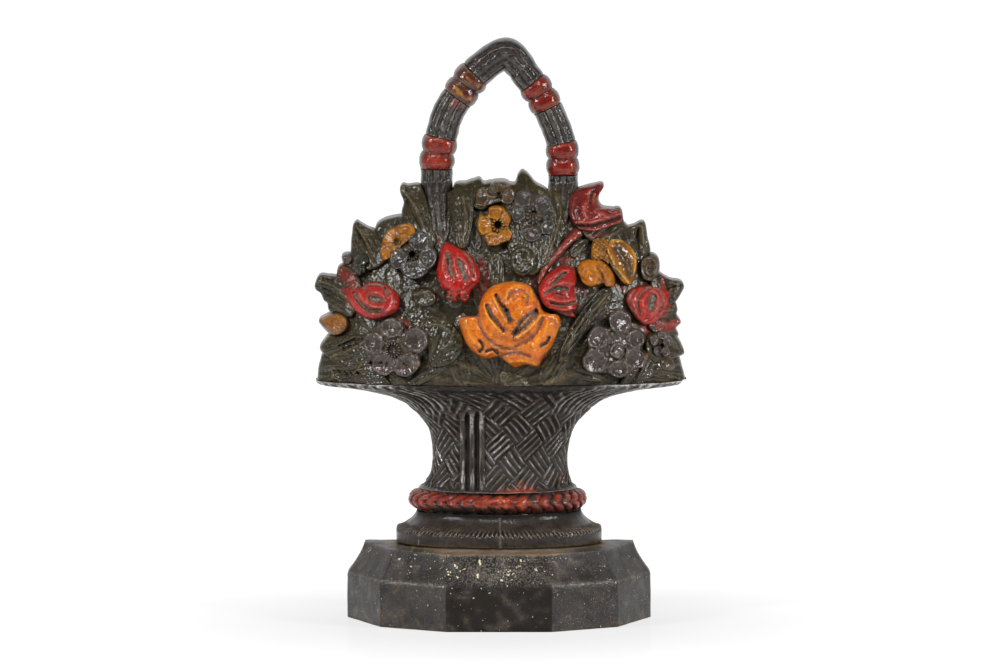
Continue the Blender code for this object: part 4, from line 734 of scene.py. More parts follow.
def ground_relief(x, z):
    """Rise and edge wear of the soft leaves between the larger forms."""
    rise = np.zeros_like(x)
    wear = np.zeros_like(x)
    for x0, z0, turn, half_length, half_width, height in random_leaves(11, 46):
        along = ((x - x0) * math.cos(turn) + (z - z0) * math.sin(turn)) / half_length
        across = (-(x - x0) * math.sin(turn) + (z - z0) * math.cos(turn)) / half_width
        side = np.hypot(along, across)
        midrib = 0.2 * np.exp(-(across / 0.25) ** 2) * (side < 1)
        veins = (1 - np.abs(np.sin(math.pi * (across * half_width / 1.7 + 0.3 * along)))) ** 3
        body = (height + 0.3) * np.sqrt(np.maximum(0, 1 - side ** 3))
        fold = body - midrib - 0.32 * veins * (side < 0.95)
        wear = np.where(fold > rise, 0.45 * np.exp(-((side - 0.88) / 0.06) ** 2), wear)
        rise = np.maximum(rise, fold)
    return rise, wear


def distance_to(x, z, path):
    """Distance of each point from a line through the given ones."""
    if len(path) > 2:
        path = smooth_through(path, 5 * len(path))
    best = np.full(np.shape(x), 1e6)
    for (x0, z0), (x1, z1) in zip(path, path[1:]):
        run_x, run_z = x1 - x0, z1 - z0
        share = np.clip(((x - x0) * run_x + (z - z0) * run_z) / (run_x ** 2 + run_z ** 2), 0, 1)
        best = np.minimum(best, np.hypot(x - x0 - share * run_x, z - z0 - share * run_z))
    return best


def spills(*strokes):
    """Tint where a second paint ran; each stroke is (half width, strength, points)."""
    def tint(x, z):
        best = np.zeros_like(x)
        for width, strength, points in strokes:
            best = np.maximum(best, strength * np.exp(-(distance_to(x, z, points) / width) ** 2))
        return best
    return tint


bed_turns = np.linspace(0.0, math.pi, 381)
bed_shares = np.linspace(0.0, 1.0, 190)[:, None]
bed_x = bed_half_width * bed_shares * np.cos(bed_turns)
bed_z = bed_foot + bed_rise * bed_shares * np.sin(bed_turns)
carved, carved_wear = ground_relief(bed_x, bed_z)
bed_up = bed_z - bed_foot
streaks = noise_at(np.arctan2(bed_up, bed_x + 1e-6) * 9, np.hypot(bed_x, bed_up) / 9, 3)
carved = (carved + 0.18 * streaks + 0.2) * np.clip((1 - bed_shares) / 0.03, 0, 1)
bed_face = np.stack((bed_x, bed_front(bed_x, bed_z) + 0.2 - carved, bed_z), axis=2)
edge_line = bed_face[-1:].copy()
edge_line[..., 1] = back_y
bed_outer = np.concatenate((uneven(bed_face, 0.2, 2.4), edge_line))
bed_outer[..., 2] = np.maximum(bed_outer[..., 2], bed_foot)
inner_shares = np.concatenate((np.linspace(0.0, 1.0, 40), [1.0]))[:, None]
inner_x = (bed_half_width - wall) * inner_shares * np.cos(bed_turns)
inner_z = bed_foot + (bed_rise - wall) * inner_shares * np.sin(bed_turns)
bed_inner = np.stack((inner_x, np.minimum(bed_front(inner_x, inner_z) + wall, back_y), inner_z), axis=2)
bed_inner[-1, :, 1] = back_y
bed_rows = np.concatenate((bed_outer, bed_inner[::-1]))
bed_fields = {field: np.zeros(bed_rows.shape[:2]) for field in ("dirt_and_shade", "tint", "wear_and_highlight")}
face_rows = slice(0, len(bed_face))
dusty_foot = 0.8 * np.exp(-(bed_up / 8) ** 2) * np.clip(0.3 + 2 * streaks, 0, 1)
bed_fields["wear_and_highlight"][face_rows] = np.maximum(carved_wear * 0.75, dusty_foot)
red_runs = spills((1.2, 0.7, [(-39, 117.4), (-32.9, 112.7)]), (1.5, 0.6, [(-28.4, 127), (-23.1, 125.3)]),
                  (2.2, 0.62, [(-6.8, 138.1), (-4.9, 131.4), (-6.4, 124.7)]),
                  (1.6, 0.6, [(28.8, 128.1), (33, 125.8)]),
                  (2.0, 0.55, [(53.6, 113), (51.3, 117.6)]), (1.6, 0.55, [(15.6, 138), (12.5, 128.4)]),
                  (2.6, 0.6, [(23.9, 137.9), (30.7, 141)]), (1.3, 0.7, [(45.2, 128), (49.8, 126.2)]),
                  (2.2, 0.72, [(54, 114.5), (57.4, 107.5), (57, 99.3), (54.3, 94.9)]),
                  (2.0, 0.5, [(-23.9, 151.4), (-23.1, 145.2)]),
                  (1.6, 0.5, [(-5.7, 135.9), (-7.9, 127.7)]), (2.0, 0.45, [(10.2, 129.9), (15.5, 132.1)]))
bed_fields["tint"][face_rows] = red_runs(bed_x, bed_z)
bed_fields["dirt_and_shade"][face_rows] = 0.35 * np.exp(-(carved / 0.4) ** 2)
bed_fields["dirt_and_shade"][len(bed_outer):] = 0.4
shell("flower_bed_ground", bed_rows, olive_paint, "flower_bed", bed_fields, closed=False)


# Handle. Two bundles of five canes rise out of the flowers, each bound twice, and lean together at the top,
# where the left bundle runs over the right. They are cast solid, painted black-brown with red bindings whose
# sides were missed by the brush.

rim_z = basket_high[2]
cane_thickness = 12.5
stem_lift = 2.5                 # how far the canes stand out in front of the bed
reeds = 5
bundle_squareness = 0.62        # 1 is a round bundle, less is flatter in front
left_bundle_width = 12.2
right_bundle_width = 11.3
cane_paint = painted_iron("cane_black_brown", "black_brown_iron", (25, 22, 20), (42, 33, 27),
    tint=(104, 42, 30), worn_and_highlight=(176, 170, 162), wear=0.3, chips=0.15, dirt_and_shade=0.85, gloss=0.2, coat=0.95,
    pebble=2.0, lump=1350.0, brush=700.0)
binding_paint = painted_iron("binding_red", "bright_red_paint", (138, 21, 15), (92, 25, 18),
    tint=(40, 36, 33), worn_and_highlight=(206, 120, 60), wear=0.55, chips=0.75, dirt_and_shade=0.8, gloss=0.22, coat=0.75,
    pebble=1.2, brush=500.0)
left_cane = [(-21.7, 53.5), (-23.2, 67.0), (-23.8, 80.2), (-22.8, 89.0), (-19.6, 101.0), (-14.7, 109.0),
             (-10.2, 115.2), (-3.6, 121.1), (2.6, 124.2), (7.2, 120.6), (11.3, 115.0), (14.2, 110.9)]
right_cane = [(23.3, 60.0), (24.3, 70.0), (24.4, 79.0), (23.6, 90.5), (18.7, 103.0), (14.5, 110.5),
              (9.0, 117.8), (6.2, 121.2)]
rubbed_binding = painted_iron("binding_rubbed_brown", "bright_red_paint", (96, 32, 24), (50, 40, 33),
    tint=(164, 108, 34), worn_and_highlight=(206, 150, 84), wear=0.5, chips=0.4, dirt_and_shade=0.75, gloss=0.22, coat=0.9,
    pebble=1.3, brush=500.0)
left_lengths = (26.8, 12.6, 16.0, 11.8)          # stem, lower binding, middle, upper binding
right_lengths = (18.0, 12.6, 13.8, 11.8)


def rod(name, rows, paint, node, fields):
    """A solid whose rows of points run round it, with a flat cap on each end."""
    index = numbered(rows)
    faces = grid_faces(index, wrap_columns=True) + [index[0].tolist(), index[-1, ::-1].tolist()]
    piece(name, rows, faces, paint, node, fields)


def cane_piece(side_name, name, node, line, width, start, stop, paint, kind, tint):
    """A length of cane between two distances along its centre line."""
    count = max(12, int(round((stop - start) / 0.45)))
    columns = 81
    share = np.linspace(0.0, 1.0, count)[:, None]
    turn = np.linspace(0.0, math.pi, columns)[None, :]
    travelled = distance_along(line)
    at = start + (stop - start) * share[:, 0]
    x = np.interp(at, travelled, line[:, 0])
    z = np.interp(at, travelled, line[:, 1])
    heading = np.stack((np.gradient(x), np.gradient(z)), axis=1)
    heading /= np.linalg.norm(heading, axis=1, keepdims=True)
    half = np.full(count, width / 2)
    front = np.minimum(back_y - cane_thickness, bed_front(x, z) - stem_lift)
    if kind == "stem":
        half *= 0.80 + 0.20 * np.minimum(1, share[:, 0] / 0.6)
        front = front + 3.6 * np.clip(1 - share[:, 0] / 0.3, 0, 1) ** 2
    if kind == "top":
        over = np.clip((share[:, 0] - 0.55) / 0.40, 0, 1)
        half *= 1 - 0.22 * over
        front = front + 2.4 * over ** 2
    sideways = np.sign(np.cos(turn)) * np.abs(np.cos(turn)) ** bundle_squareness
    waves = noise_at(at[:, None] / 2.6, turn * 2, width)
    swell = np.zeros_like(share)
    if kind == "binding":
        ring = np.abs(np.sin(2 * math.pi * share)) ** 0.45
        swell = 1.5 * ring - 0.8
        cords = 0.13 * np.cos(2 * math.pi * (at[:, None] + 0.5 * np.cos(turn)))
        detail = cords + 0.22 * waves
        # dirt and painted shade in the groove between the two rings
        dirt_and_shade = 0.75 * (1 - ring) ** 2
        red_sides = np.clip((np.abs(np.cos(turn)) - 0.66) / 0.12, 0, 1)
        fields = {"dirt_and_shade": dirt_and_shade, "tint": red_sides, "wear_and_highlight": 0.3 * np.clip(detail / 0.2, 0, 1)}
    else:
        reed = np.abs(np.cos(math.pi * (reeds - 1) * (1 + sideways) / 2)) ** 0.6
        detail = (0.6 if kind == "top" else 0.9) * (reed - 1.0) + 0.22 * waves
        # thin painted glints along the crests of the reeds, and dirt and painted shade in the grooves
        # between them
        wear_and_highlight = 0.2 * reed ** 8 * np.clip(3.0 * waves, 0, 1)
        fields = {"dirt_and_shade": 0.8 * (1 - reed) ** 3, "tint": 0.0, "wear_and_highlight": wear_and_highlight}
    if tint is not None:
        fields["tint"] = np.maximum(0, tint(share, turn))
    reach = half[:, None] + swell + detail
    flat_back = back_y - (0.04 if side_name == "left" else 0.16)    # the tops cross, so they share no plane
    thick = flat_back - front[:, None] + swell + detail
    across = reach * sideways
    ahead = thick * np.abs(np.sin(turn)) ** bundle_squareness
    rows = np.stack((x[:, None] + heading[:, 1:] * across, flat_back - ahead,
                     z[:, None] - heading[:, :1] * across), axis=2)
    fields = {field: np.broadcast_to(values, (count, columns)) for field, values in fields.items()}
    rod(name, rows, paint, node, fields)


def cane_side(side, points, width, lengths, upper_paint, stem_tint=None, middle_tint=None, top_tint=None,
              upper_tint=None):
    """One side of the handle: its bundle of canes and its two bindings, one piece to each length."""
    line = smooth_through([(x, rim_z + height) for x, height in points], 400)
    marks = np.concatenate(([0.0], np.cumsum(lengths)))
    plan = (("stem", "stem", marks[0], marks[1], cane_paint, stem_tint),
            ("lower_binding", "binding", marks[1], marks[2], binding_paint, None),
            ("middle", "middle", marks[2], marks[3], cane_paint, middle_tint),
            ("upper_binding", "binding", marks[3], marks[4], upper_paint, upper_tint),
            ("top", "top", marks[4], distance_along(line)[-1], cane_paint, top_tint))
    for part, kind, start, stop, paint, tint in plan:
        node = f"{side}_{part}" if kind == "binding" else f"{side}_cane_{part}"
        cane_piece(side, f"{side}_handle_{part}", node, line, width, start, stop, paint, kind, tint)


def red_run(share, turn):
    """Red that ran down between two canes of the left stem."""
    return (0.36 + 0.4 * np.exp(-(share / 0.3) ** 2)) * np.exp(-((turn - 1.42) / 0.10) ** 2)


def rubbed_seam(share, turn):
    return 0.5 * np.exp(-((turn - 1.95) / 0.07) ** 2) * (share < 0.7)


def ochre_patches(share, turn):
    """Ochre that is left on the upper left binding, on the middle of its two rings."""
    rings = np.exp(-((share - 0.25) / 0.13) ** 2) + np.exp(-((share - 0.78) / 0.13) ** 2)
    return (0.62 + 1.1 * noise_at(8 * share, 3.2 * turn, 2)) * rings * np.exp(-((turn - 1.45) / 0.6) ** 2)


def red_drips(share, turn):
    """Red that ran down from the upper left binding."""
    drips = 0.8 + 0.35 * np.sin(9 * turn)
    return drips * np.exp(-((1 - share) / 0.26) ** 2) * np.exp(-((turn - 1.4) / 0.8) ** 2)


cane_side("left", left_cane, left_bundle_width, left_lengths, rubbed_binding,
          stem_tint=red_run, middle_tint=red_drips, top_tint=rubbed_seam, upper_tint=ochre_patches)
cane_side("right", right_cane, right_bundle_width, right_lengths, binding_paint)


# Orange rose. A cast ball of folded petals that sits in a cup of broad outer ones, its seams cut deep. It is
# painted orange in thick strokes, lighter on the rims with wear and painted highlights, and the folds are
# darkened with dirt and painted shade.

def waves_over(x, z, size, seed, stretch=1.0, lie=0.0):
    """Noise over the bed, drawn out along a direction; from -1 to 1."""
    turn = math.radians(lie)
    along = (x * math.cos(turn) + z * math.sin(turn)) / (size * stretch)
    across = (-x * math.sin(turn) + z * math.cos(turn)) / size
    return noise_at(along, seed, across)


def marked(x, z, marks):
    """Rise, dirt-and-shade and wear-and-highlight of carved lines, each (height, half width, points); a
    negative height cuts in. Deep cuts are darkened with dirt and painted shade, raised lines lightened with
    wear and painted highlights.
    """
    rise, dirt_and_shade, wear_and_highlight = np.zeros_like(x), np.zeros_like(x), np.zeros_like(x)
    ragged = 1 + 0.5 * waves_over(x, z, 0.9, 21.0)
    for height, width, path in marks:
        near = np.exp(-(distance_to(x, z, path) * ragged / width) ** 2)
        rise = rise + height * near
        if height < -0.75:
            dirt_and_shade = np.maximum(dirt_and_shade, near ** 1.5 * min(1.0, -height / 1.4))
        if height > 0:
            wear_and_highlight = np.maximum(wear_and_highlight, near ** 1.5 * min(0.75, 1.1 * height))
    return rise, dirt_and_shade, wear_and_highlight


def traced(points, count):
    """A smooth closed outline through the given points."""
    points = np.asarray(points, float)
    ends = np.concatenate((points[-1:], points, points[:2]))
    return even_points(curve_between(ends, 30), count + 1)[:-1]


edge_rise = 0.7
edge_lip = 0.3
edge_softness = 1.3
least_rise = 0.1
sunk = 1.6                      # how far the back of a form lies inside the bed
outline_share = 0.955           # past this share of the bed, a form at its edge has a flat back


def form(name, node, paint, middle, outline, rise, marks=(), at_edge=False, pitch=0.34, colour=None,
         sway=0.25, wear_and_highlight=None):
    """A form on the bed. The outline runs round its middle, and rise gives its height above the bed."""
    middle = np.asarray(middle, float)
    edge = outline - middle
    reach = np.max(np.hypot(edge[:, 0], edge[:, 1]))
    shares = np.linspace(0.0, 1.0, max(10, int(reach / pitch)))[:, None]
    x = middle[0] + edge[None, :, 0] * shares
    z = middle[1] + edge[None, :, 1] * shares
    carved, dirt_and_shade, wear_and_highlight_amount = marked(x, z, marks)
    if wear_and_highlight:
        wear_and_highlight_amount = np.maximum(wear_and_highlight_amount, wear_and_highlight(x, z, shares))
    height = rise(x, z, shares) + carved + sway * waves_over(x, z, 2.1, 4.0)
    rounding = np.clip((1 - shares) * reach / edge_softness, 0, 1)
    height = edge_lip + (np.maximum(height, least_rise) + edge_rise) * np.sqrt(1 - (1 - rounding) ** 2)
    front = np.stack((x, bed_front(x, z) - height, z), axis=2)
    back_shares = np.array((0.0, 0.45, 0.75, 1.0))[:, None]
    back_x = middle[0] + edge[None, :, 0] * back_shares
    back_z = middle[1] + edge[None, :, 1] * back_shares
    depth = bed_front(back_x, back_z) + sunk
    if at_edge:
        inside = np.hypot(back_x / bed_half_width, (back_z - bed_foot) / bed_rise)
        # the flat backs overlap, so each lies at its own depth
        set_in = 0.1 + 0.3 * (1 + middle[0] / bed_half_width) + 0.3 * (middle[1] - bed_foot) / bed_rise
        depth = np.where(inside > outline_share, back_y - set_in, depth)
        last = np.column_stack((back_x[-1], depth[-1], back_z[-1]))
        sides = [front[-1] + (last - front[-1]) * part for part in (0.12, 0.35, 0.65, 0.9)]
        front = np.concatenate((front, np.array(sides)))
        pad = ((0, len(sides)), (0, 0))
        dirt_and_shade, wear_and_highlight_amount = np.pad(dirt_and_shade, pad), np.pad(wear_and_highlight_amount, pad)
    rows = np.concatenate((front, np.stack((back_x, depth, back_z), axis=2)[::-1]))
    rows[..., 2] = np.maximum(rows[..., 2], bed_foot + 0.05)
    tint = colour(rows[:len(front), :, 0], rows[:len(front), :, 2]) if colour else np.zeros(front.shape[:2])
    behind = ((0, len(back_x)), (0, 0))
    fields = {"dirt_and_shade": np.pad(dirt_and_shade, behind), "wear_and_highlight": np.pad(wear_and_highlight_amount, behind), "tint": np.pad(tint, behind)}
    piece(name, rows, grid_faces(numbered(rows), wrap_columns=True), paint, node, fields)


def swollen(crown, fullness=2.4):
    """A dome that follows the outline it stands on."""
    return lambda x, z, shares: crown * np.sqrt(np.maximum(0.0, 1 - shares ** fullness))


def ball_on(x, z, middle, radius_x, radius_z, crown):
    """A ball that stands on the bed, flattened to its crown."""
    across = ((x - middle[0]) / radius_x) ** 2 + ((z - middle[1]) / radius_z) ** 2
    return crown * np.sqrt(np.maximum(0.0, 1 - across))


rose_paint = painted_iron("rose_orange", "orange_paint", (224, 122, 22), (196, 90, 18), tint=(168, 44, 28),
    worn_and_highlight=(240, 176, 58), wear=0.75, chips=0.25, dirt_and_shade=0.85, gloss=0.22, coat=0.62, pebble=1.1, brush=240.0,
    deep=(124, 122, 120))
rose_middle = (4.6, 118.4)
rose_ball = (12.3, 12.6, 8.8)   # half width, half height and rise of the folded ball
rose_cup = 5.6                  # rise of the outer petals
rose_outline = [
    (-15.1, 116.8), (-11.7, 117.6), (-8.3, 118.1), (-7.5, 121.5), (-5.7, 126), (-1.5, 129.4), (4.9, 130.6),
    (10.2, 129.7), (13.3, 127.4), (15.5, 123.7), (17, 119.9), (20.1, 118.6), (22.7, 118.4),
    (23.5, 115.6), (22.2, 111.1), (20.1, 106.2), (16.7, 101.7), (14.6, 98.5), (10.2, 99.1),
    (6.1, 98.2), (3, 100.1), (-0.4, 102.2), (-5.3, 101.6), (-9.8, 104.2), (-13, 108),
    (-14.7, 112.7)]


def rose_rise(x, z, shares):
    ball = ball_on(x, z, rose_middle, *rose_ball)
    cup = rose_cup * np.sqrt(np.maximum(0, 1 - shares ** 5))
    return np.maximum(ball, cup) + 0.12 * np.cos(1.9 * (x + 0.6 * z)) * (ball > cup)


rose_marks = [
    (-1.7, 0.7, [(-4.5, 122.1), (-2.6, 118.4), (-0.7, 116.2), (1.9, 112.8)]),
    (0.6, 0.5, [(-5.6, 121.7), (-4.1, 118), (-2.2, 115.4), (0.4, 112.4)]),
    (-1.9, 0.55, [(-1.1, 125.9), (0.8, 122.6), (3.4, 120.3)]),
    (-1.6, 1.1, [(2.7, 120), (4.2, 116.6)]),
    (0.5, 0.5, [(-2.2, 125.1), (0, 121.1), (3, 116.2)]),
    (-1.4, 0.9, [(13.6, 119.8), (11, 118.4), (8, 115.8), (5.7, 112)]),
    (-1.4, 0.9, [(14, 119.4), (11.7, 116.5), (9.1, 113.9), (5.7, 111.6)]),
    (0.5, 0.6, [(11.7, 118.4), (8.3, 114.6)]),
    (0.7, 0.6, [(15.9, 118.2), (12.5, 114.2), (7.2, 110.1)]),
    (-0.8, 0.5, [(3.4, 124.8), (4.9, 127), (8.3, 127.7), (11, 126.2), (10.6, 123.3)]),
    (0.5, 0.6, [(2.7, 123.7), (3.4, 127.7), (7.6, 129.6), (12.1, 128.1), (12.9, 124)]),
    (-0.7, 0.5, [(5.7, 124.4), (7.6, 125.9), (9.5, 124.8)]),
    (-0.8, 0.6, [(12.9, 127.2), (14.4, 123.9), (14, 120.1)]),
    (-0.8, 0.7, [(-7.9, 117.5), (-6.4, 112.7), (-3, 108.5), (1.5, 105.9), (6.4, 105.5)]),
    (-0.8, 0.7, [(16.3, 117.4), (14.4, 112.6), (11, 108.9), (6.4, 106.6)]),
    (0.5, 0.9, [(-12.8, 115.5), (-10.9, 110.6), (-7.2, 106.5)]),
    (0.5, 0.8, [(18.6, 116.6), (17, 111.4), (12.9, 106.9)]),
    (-1.5, 0.55, [(15.9, 106.8), (17.8, 107.9), (18.9, 109.8)]),
    (-1.5, 0.6, [(-7.2, 108.7), (-6, 106.5), (-7.2, 104.6)]),
    (-1.4, 0.6, [(-4.9, 104.6), (-2.6, 105.4), (-0.4, 104.2)]),
    (-0.9, 0.8, [(0.4, 102.7), (6.1, 104.2), (11.7, 102.7)]),
    (0.5, 0.7, [(1.9, 100), (7.6, 101.1), (13.6, 99.6)]),
    (0.6, 0.5, [(21.6, 116.9), (22.7, 114.2), (21.2, 109.8)])]
form("rose_folded", "orange_rose", rose_paint, rose_middle, traced(rose_outline, 320), rose_rise,
     rose_marks, pitch=0.3,
     colour=spills((0.9, 0.9, [(23.1, 118.2), (24.3, 115.6), (23.5, 111.1)])))


# Red rosebuds. Three fat closed buds, their petal edges cut as dark slits and crescents; the middle one
# has a ragged calyx below it. They are cast in one with the bed and painted bright red over grey iron.

bud_paint = painted_iron("bud_bright_red", "bright_red_paint", (176, 30, 24), (136, 26, 22),
    tint=(70, 62, 50), worn_and_highlight=(200, 98, 82), wear=0.35, chips=0.35, dirt_and_shade=0.85, gloss=0.18, coat=0.6,
    pebble=1.1, brush=300.0, deep=(136, 138, 122))
left_bud_middle = (-47.4, 122.9)
form("rosebud_left_petals", "red_rosebud_left", bud_paint, left_bud_middle, traced([
    (-59, 126.5), (-53.2, 127.2), (-49.4, 129.4), (-44, 129.3), (-39.8, 126.9), (-37.5, 123.6),
    (-38.1, 119.5), (-41.9, 116.7), (-47.8, 115.4), (-53.2, 116.8), (-57.4, 121.2)], 200), swollen(5.8), [
        (-1.9, 0.7, [(-55.1, 125.3), (-52.8, 121.8), (-49.3, 119.4), (-45.1, 119.2)]),
        (0.7, 0.6, [(-53.6, 126.5), (-51.2, 123), (-47.8, 120.9), (-44, 120.7)]),
        (-1.2, 0.45, [(-51.6, 127), (-49.3, 128.6), (-45.1, 128.5), (-41.3, 126)]),
        (-1.6, 1.25, [(-48.2, 123.6), (-45.9, 123.3)]),
        (0.6, 0.6, [(-49.7, 122), (-50.1, 124.6), (-47.8, 126.2), (-44.3, 125.3), (-43.2, 123.5)]),
        (-0.9, 0.5, [(-45.1, 122.3), (-42.8, 124.2), (-43.2, 127.2)]),
        (0.5, 0.7, [(-40.9, 124.9), (-39.8, 122), (-42.1, 119)])],
    colour=spills((1.0, 0.75, [(-47.8, 123.6), (-46.2, 123.3)]),
                  (0.8, 0.55, [(-49.3, 126.8), (-47.4, 125.9)])))
middle_bud = (-15.9, 133.4)
form("rosebud_middle_petals", "red_rosebud_middle", bud_paint, middle_bud, traced([
    (-20.6, 144.9), (-23.1, 140.1), (-23.9, 133.8), (-21.9, 128.3), (-19.7, 126.5), (-20, 124.2),
    (-18.2, 123.5), (-16.6, 122.6), (-14.7, 123.5), (-13.2, 122.6), (-11.3, 123.9), (-10.6, 126.9),
    (-7.2, 131), (-7.7, 135.9), (-11.3, 140.8), (-16.3, 143.9)], 230), swollen(6.2), [
        (-1.1, 0.8, [(-19.3, 141), (-18.9, 138.1)]),
        (-1.2, 0.95, [(-18.5, 138.5), (-18.9, 136), (-17.8, 133.4)]),
        (-1.3, 1.15, [(-15.1, 138.2), (-14, 135.7), (-12.5, 132)]),
        (0.7, 0.5, [(-15.5, 140), (-12.1, 137.5), (-11, 133.1)]),
        (0.6, 0.5, [(-20.8, 140.9), (-21.6, 136.6), (-20, 131.9)]),
        (0.5, 0.5, [(-17.4, 140.3), (-16.6, 136.7), (-15.9, 133)]),
        (-0.9, 0.5, [(-13.6, 141.8), (-10.6, 138.2), (-9.8, 133)]),
        (-0.7, 0.6, [(-21.6, 128.4), (-17.8, 126.6), (-13.6, 127.4), (-9.8, 130.1)]),
        (-1.2, 0.5, [(-19.3, 125.3), (-17.8, 125.4)]), (-1.2, 0.5, [(-15.9, 124.6), (-15.1, 125.4)]),
        (-1.2, 0.5, [(-12.8, 124.7), (-12.1, 125.8)])],
    colour=spills((1.1, 0.75, [(-19.7, 141), (-18.9, 137.7)]), (0.8, 0.7, [(-18.5, 135.2), (-17.8, 133.4)]),
                  (1.1, 0.75, [(-14.7, 137.9), (-12.5, 132)])))
right_bud = (57.4, 120.4)
form("rosebud_right_petals", "red_rosebud_right", bud_paint, right_bud, traced([
    (48.2, 122.8), (49.8, 126.6), (55.2, 128), (60.9, 127.4), (65.3, 125.2), (65.2, 121.6), (63.4, 117.6),
    (60.7, 114.1), (56.6, 112.5), (53.2, 114), (49.9, 118.4)], 190), swollen(5.4), [
        (-1.5, 1.3, [(58.6, 123.7), (57.8, 119.6)]),
        (0.7, 0.6, [(55.5, 118.3), (54.7, 122.4), (57.8, 125.9), (60.5, 123.9), (60.5, 120.2),
        (57.8, 117.4)]),
        (-1.0, 0.5, [(53.6, 117.7), (52.8, 122.5), (55.5, 126.5), (60.5, 126.5), (62.4, 123),
        (61.2, 118.3)]),
        (0.5, 0.6, [(52, 117.7), (50.9, 122.6), (54, 127.2)]),
        (-0.8, 0.5, [(50.9, 119.2), (49.8, 122.6), (51.3, 126.2)]),
        (-0.7, 0.5, [(55.5, 115.3), (58.9, 115.8), (62.4, 120)])], at_edge=True,
    colour=spills((1.5, 0.8, [(58.2, 123.3), (57.4, 120)])))


# Tulips. An open tulip leans out at the top right on a flat stem, and a half-open one lies over the rose's
# shoulder. Both are cast in one with the bed; the open one is a dull wine red, its lips rubbed to orange and
# pink.

tulip_paint = painted_iron("tulip_wine_red", "dull_red_paint", (116, 21, 16), (88, 20, 15),
    tint=(150, 74, 38), worn_and_highlight=(206, 108, 88), wear=0.45, chips=0.35, dirt_and_shade=0.9, gloss=0.18, coat=0.7,
    pebble=1.1, brush=320.0)
form("tulip_open", "tulip", tulip_paint, (33.8, 156.4), traced([
    (39.2, 166.4), (36.6, 166), (32.7, 165.1), (29.3, 163.8), (27, 161.8), (26.2, 158.6), (26.6, 154.6),
    (28.5, 150.9), (31.5, 148.7), (35.3, 148), (39.9, 148.9), (43.8, 150), (47, 151.1), (47, 154.8),
    (46.1, 156.3), (43, 156.9), (39.6, 157.4), (38.1, 159.7), (38.5, 162.8), (40, 165.1)],
    230), swollen(5.2, 3.0), [
         (-1.0, 0.45, [(29.6, 151), (35, 150.9), (40.7, 152.1), (46.1, 153.3)]),
         (0.6, 0.5, [(30.4, 152.5), (35.3, 152.4), (40.7, 153.6), (46.1, 154.8)]),
         (0.6, 0.5, [(31.5, 149.8), (36.5, 149.3), (41.5, 150.6), (46.1, 151.8)]),
         (-0.8, 0.5, [(37.7, 165.4), (35.4, 162.5), (34.6, 159.3)]),
         (0.6, 0.9, [(34.6, 161), (32.7, 157.9), (33.1, 154.6)]),
         (0.7, 0.7, [(36.9, 156), (39.2, 154.8), (41.9, 153.5)]),
         (-0.7, 0.5, [(29.3, 160.8), (28.5, 156.5), (30, 153.2)])], at_edge=True, pitch=0.3,
     colour=spills((1.2, 0.55, [(34.3, 163.6), (36.5, 161.8), (35.8, 159.2)]),
                   (1.0, 0.4, [(29.3, 152.5), (34.6, 153.4)])))
form("tulip_half_open", "tulip_bud", bud_paint, (22, 126.3), traced([
    (27.3, 136.1), (23.1, 136.2), (18.6, 133.9), (15.4, 129.9), (14.8, 125.4), (17.2, 121.1), (22, 118.8),
    (26.9, 117), (29.2, 117), (28, 118.8), (29.4, 120.3), (29.4, 124.8), (28.8, 127.8), (29.6, 131.1),
    (29.2, 134.4)], 210), swollen(5.6, 3.0), [
        (-1.4, 0.55, [(25, 133.9), (22.4, 131.8), (19.7, 129.3)]),
        (0.6, 0.5, [(26.6, 134.9), (22.4, 133.9), (18.2, 131.1)]),
        (-1.3, 0.6, [(25.8, 128), (21.6, 128.5), (17.4, 126.4)]),
        (-1.0, 0.5, [(24.2, 125.4), (21.6, 126.3)]),
        (0.6, 0.6, [(28.8, 129.7), (23.9, 130.3), (18.9, 128.2), (16.7, 125.2)]),
        (-1.2, 0.45, [(29.2, 122.6), (24.2, 122.1), (19.7, 122.9)]),
        (0.7, 0.6, [(29.2, 124.1), (24.2, 123.6), (18.9, 124.4)]),
        (0.6, 0.5, [(29.2, 120.8), (24.2, 120.2), (19.3, 120.9)]),
        (-1.1, 0.45, [(28.8, 118.5), (24.6, 119), (20.8, 119.8)])],
     colour=spills((1.1, 0.75, [(25, 133.9), (21.6, 131)]), (1.2, 0.7, [(25.8, 128), (21.6, 128.1)])))


def slender(name, node, paint, path, widths, height):
    """A stem or twig: a rounded strip along a line, as wide as given at its two ends."""
    line = smooth_through(path, 60)
    heading = np.stack((np.gradient(line[:, 0]), np.gradient(line[:, 1])), axis=1)
    heading /= np.linalg.norm(heading, axis=1, keepdims=True)
    share = np.linspace(0, 1, len(line))
    blunt = np.sqrt(np.clip(np.minimum(share, 1 - share) / 0.04 + 0.15, 0, 1))[:, None]
    half = np.interp(share, (0, 1), widths)[:, None] / 2 * blunt
    turn = np.linspace(0, 2 * math.pi, 28, endpoint=False)[None, :]
    across = half * np.cos(turn)
    x = line[:, :1] + heading[:, 1:] * across
    z = line[:, 1:] - heading[:, :1] * across
    lift = height * np.sin(turn) + 0.3 * waves_over(x, z, 1.5, 2.0)
    rows = np.stack((x, bed_front(x, z) - 0.4 - lift, z), axis=2)
    wear_and_highlight = np.broadcast_to(1.6 * np.clip(np.sin(turn) - 0.8, 0, 1), x.shape)
    rod(name, rows, paint, node, {"dirt_and_shade": np.zeros_like(x), "tint": np.zeros_like(x), "wear_and_highlight": wear_and_highlight})


stalk_line = [(31.2, 149.3), (26.6, 145.4), (21.6, 140.4), (17.5, 135.3), (15.2, 129.8)]
slender("tulip_stalk", "tulip_stem", tulip_paint, stalk_line, (4.2, 2.6), 2.4)


# Open flowers. Yellow, grey-mauve and brown blossoms, each a ring of softly cupped petals about a beaded eye
# with a sunk middle. They are cast with the bed; most of their paint has gone grey or brown.

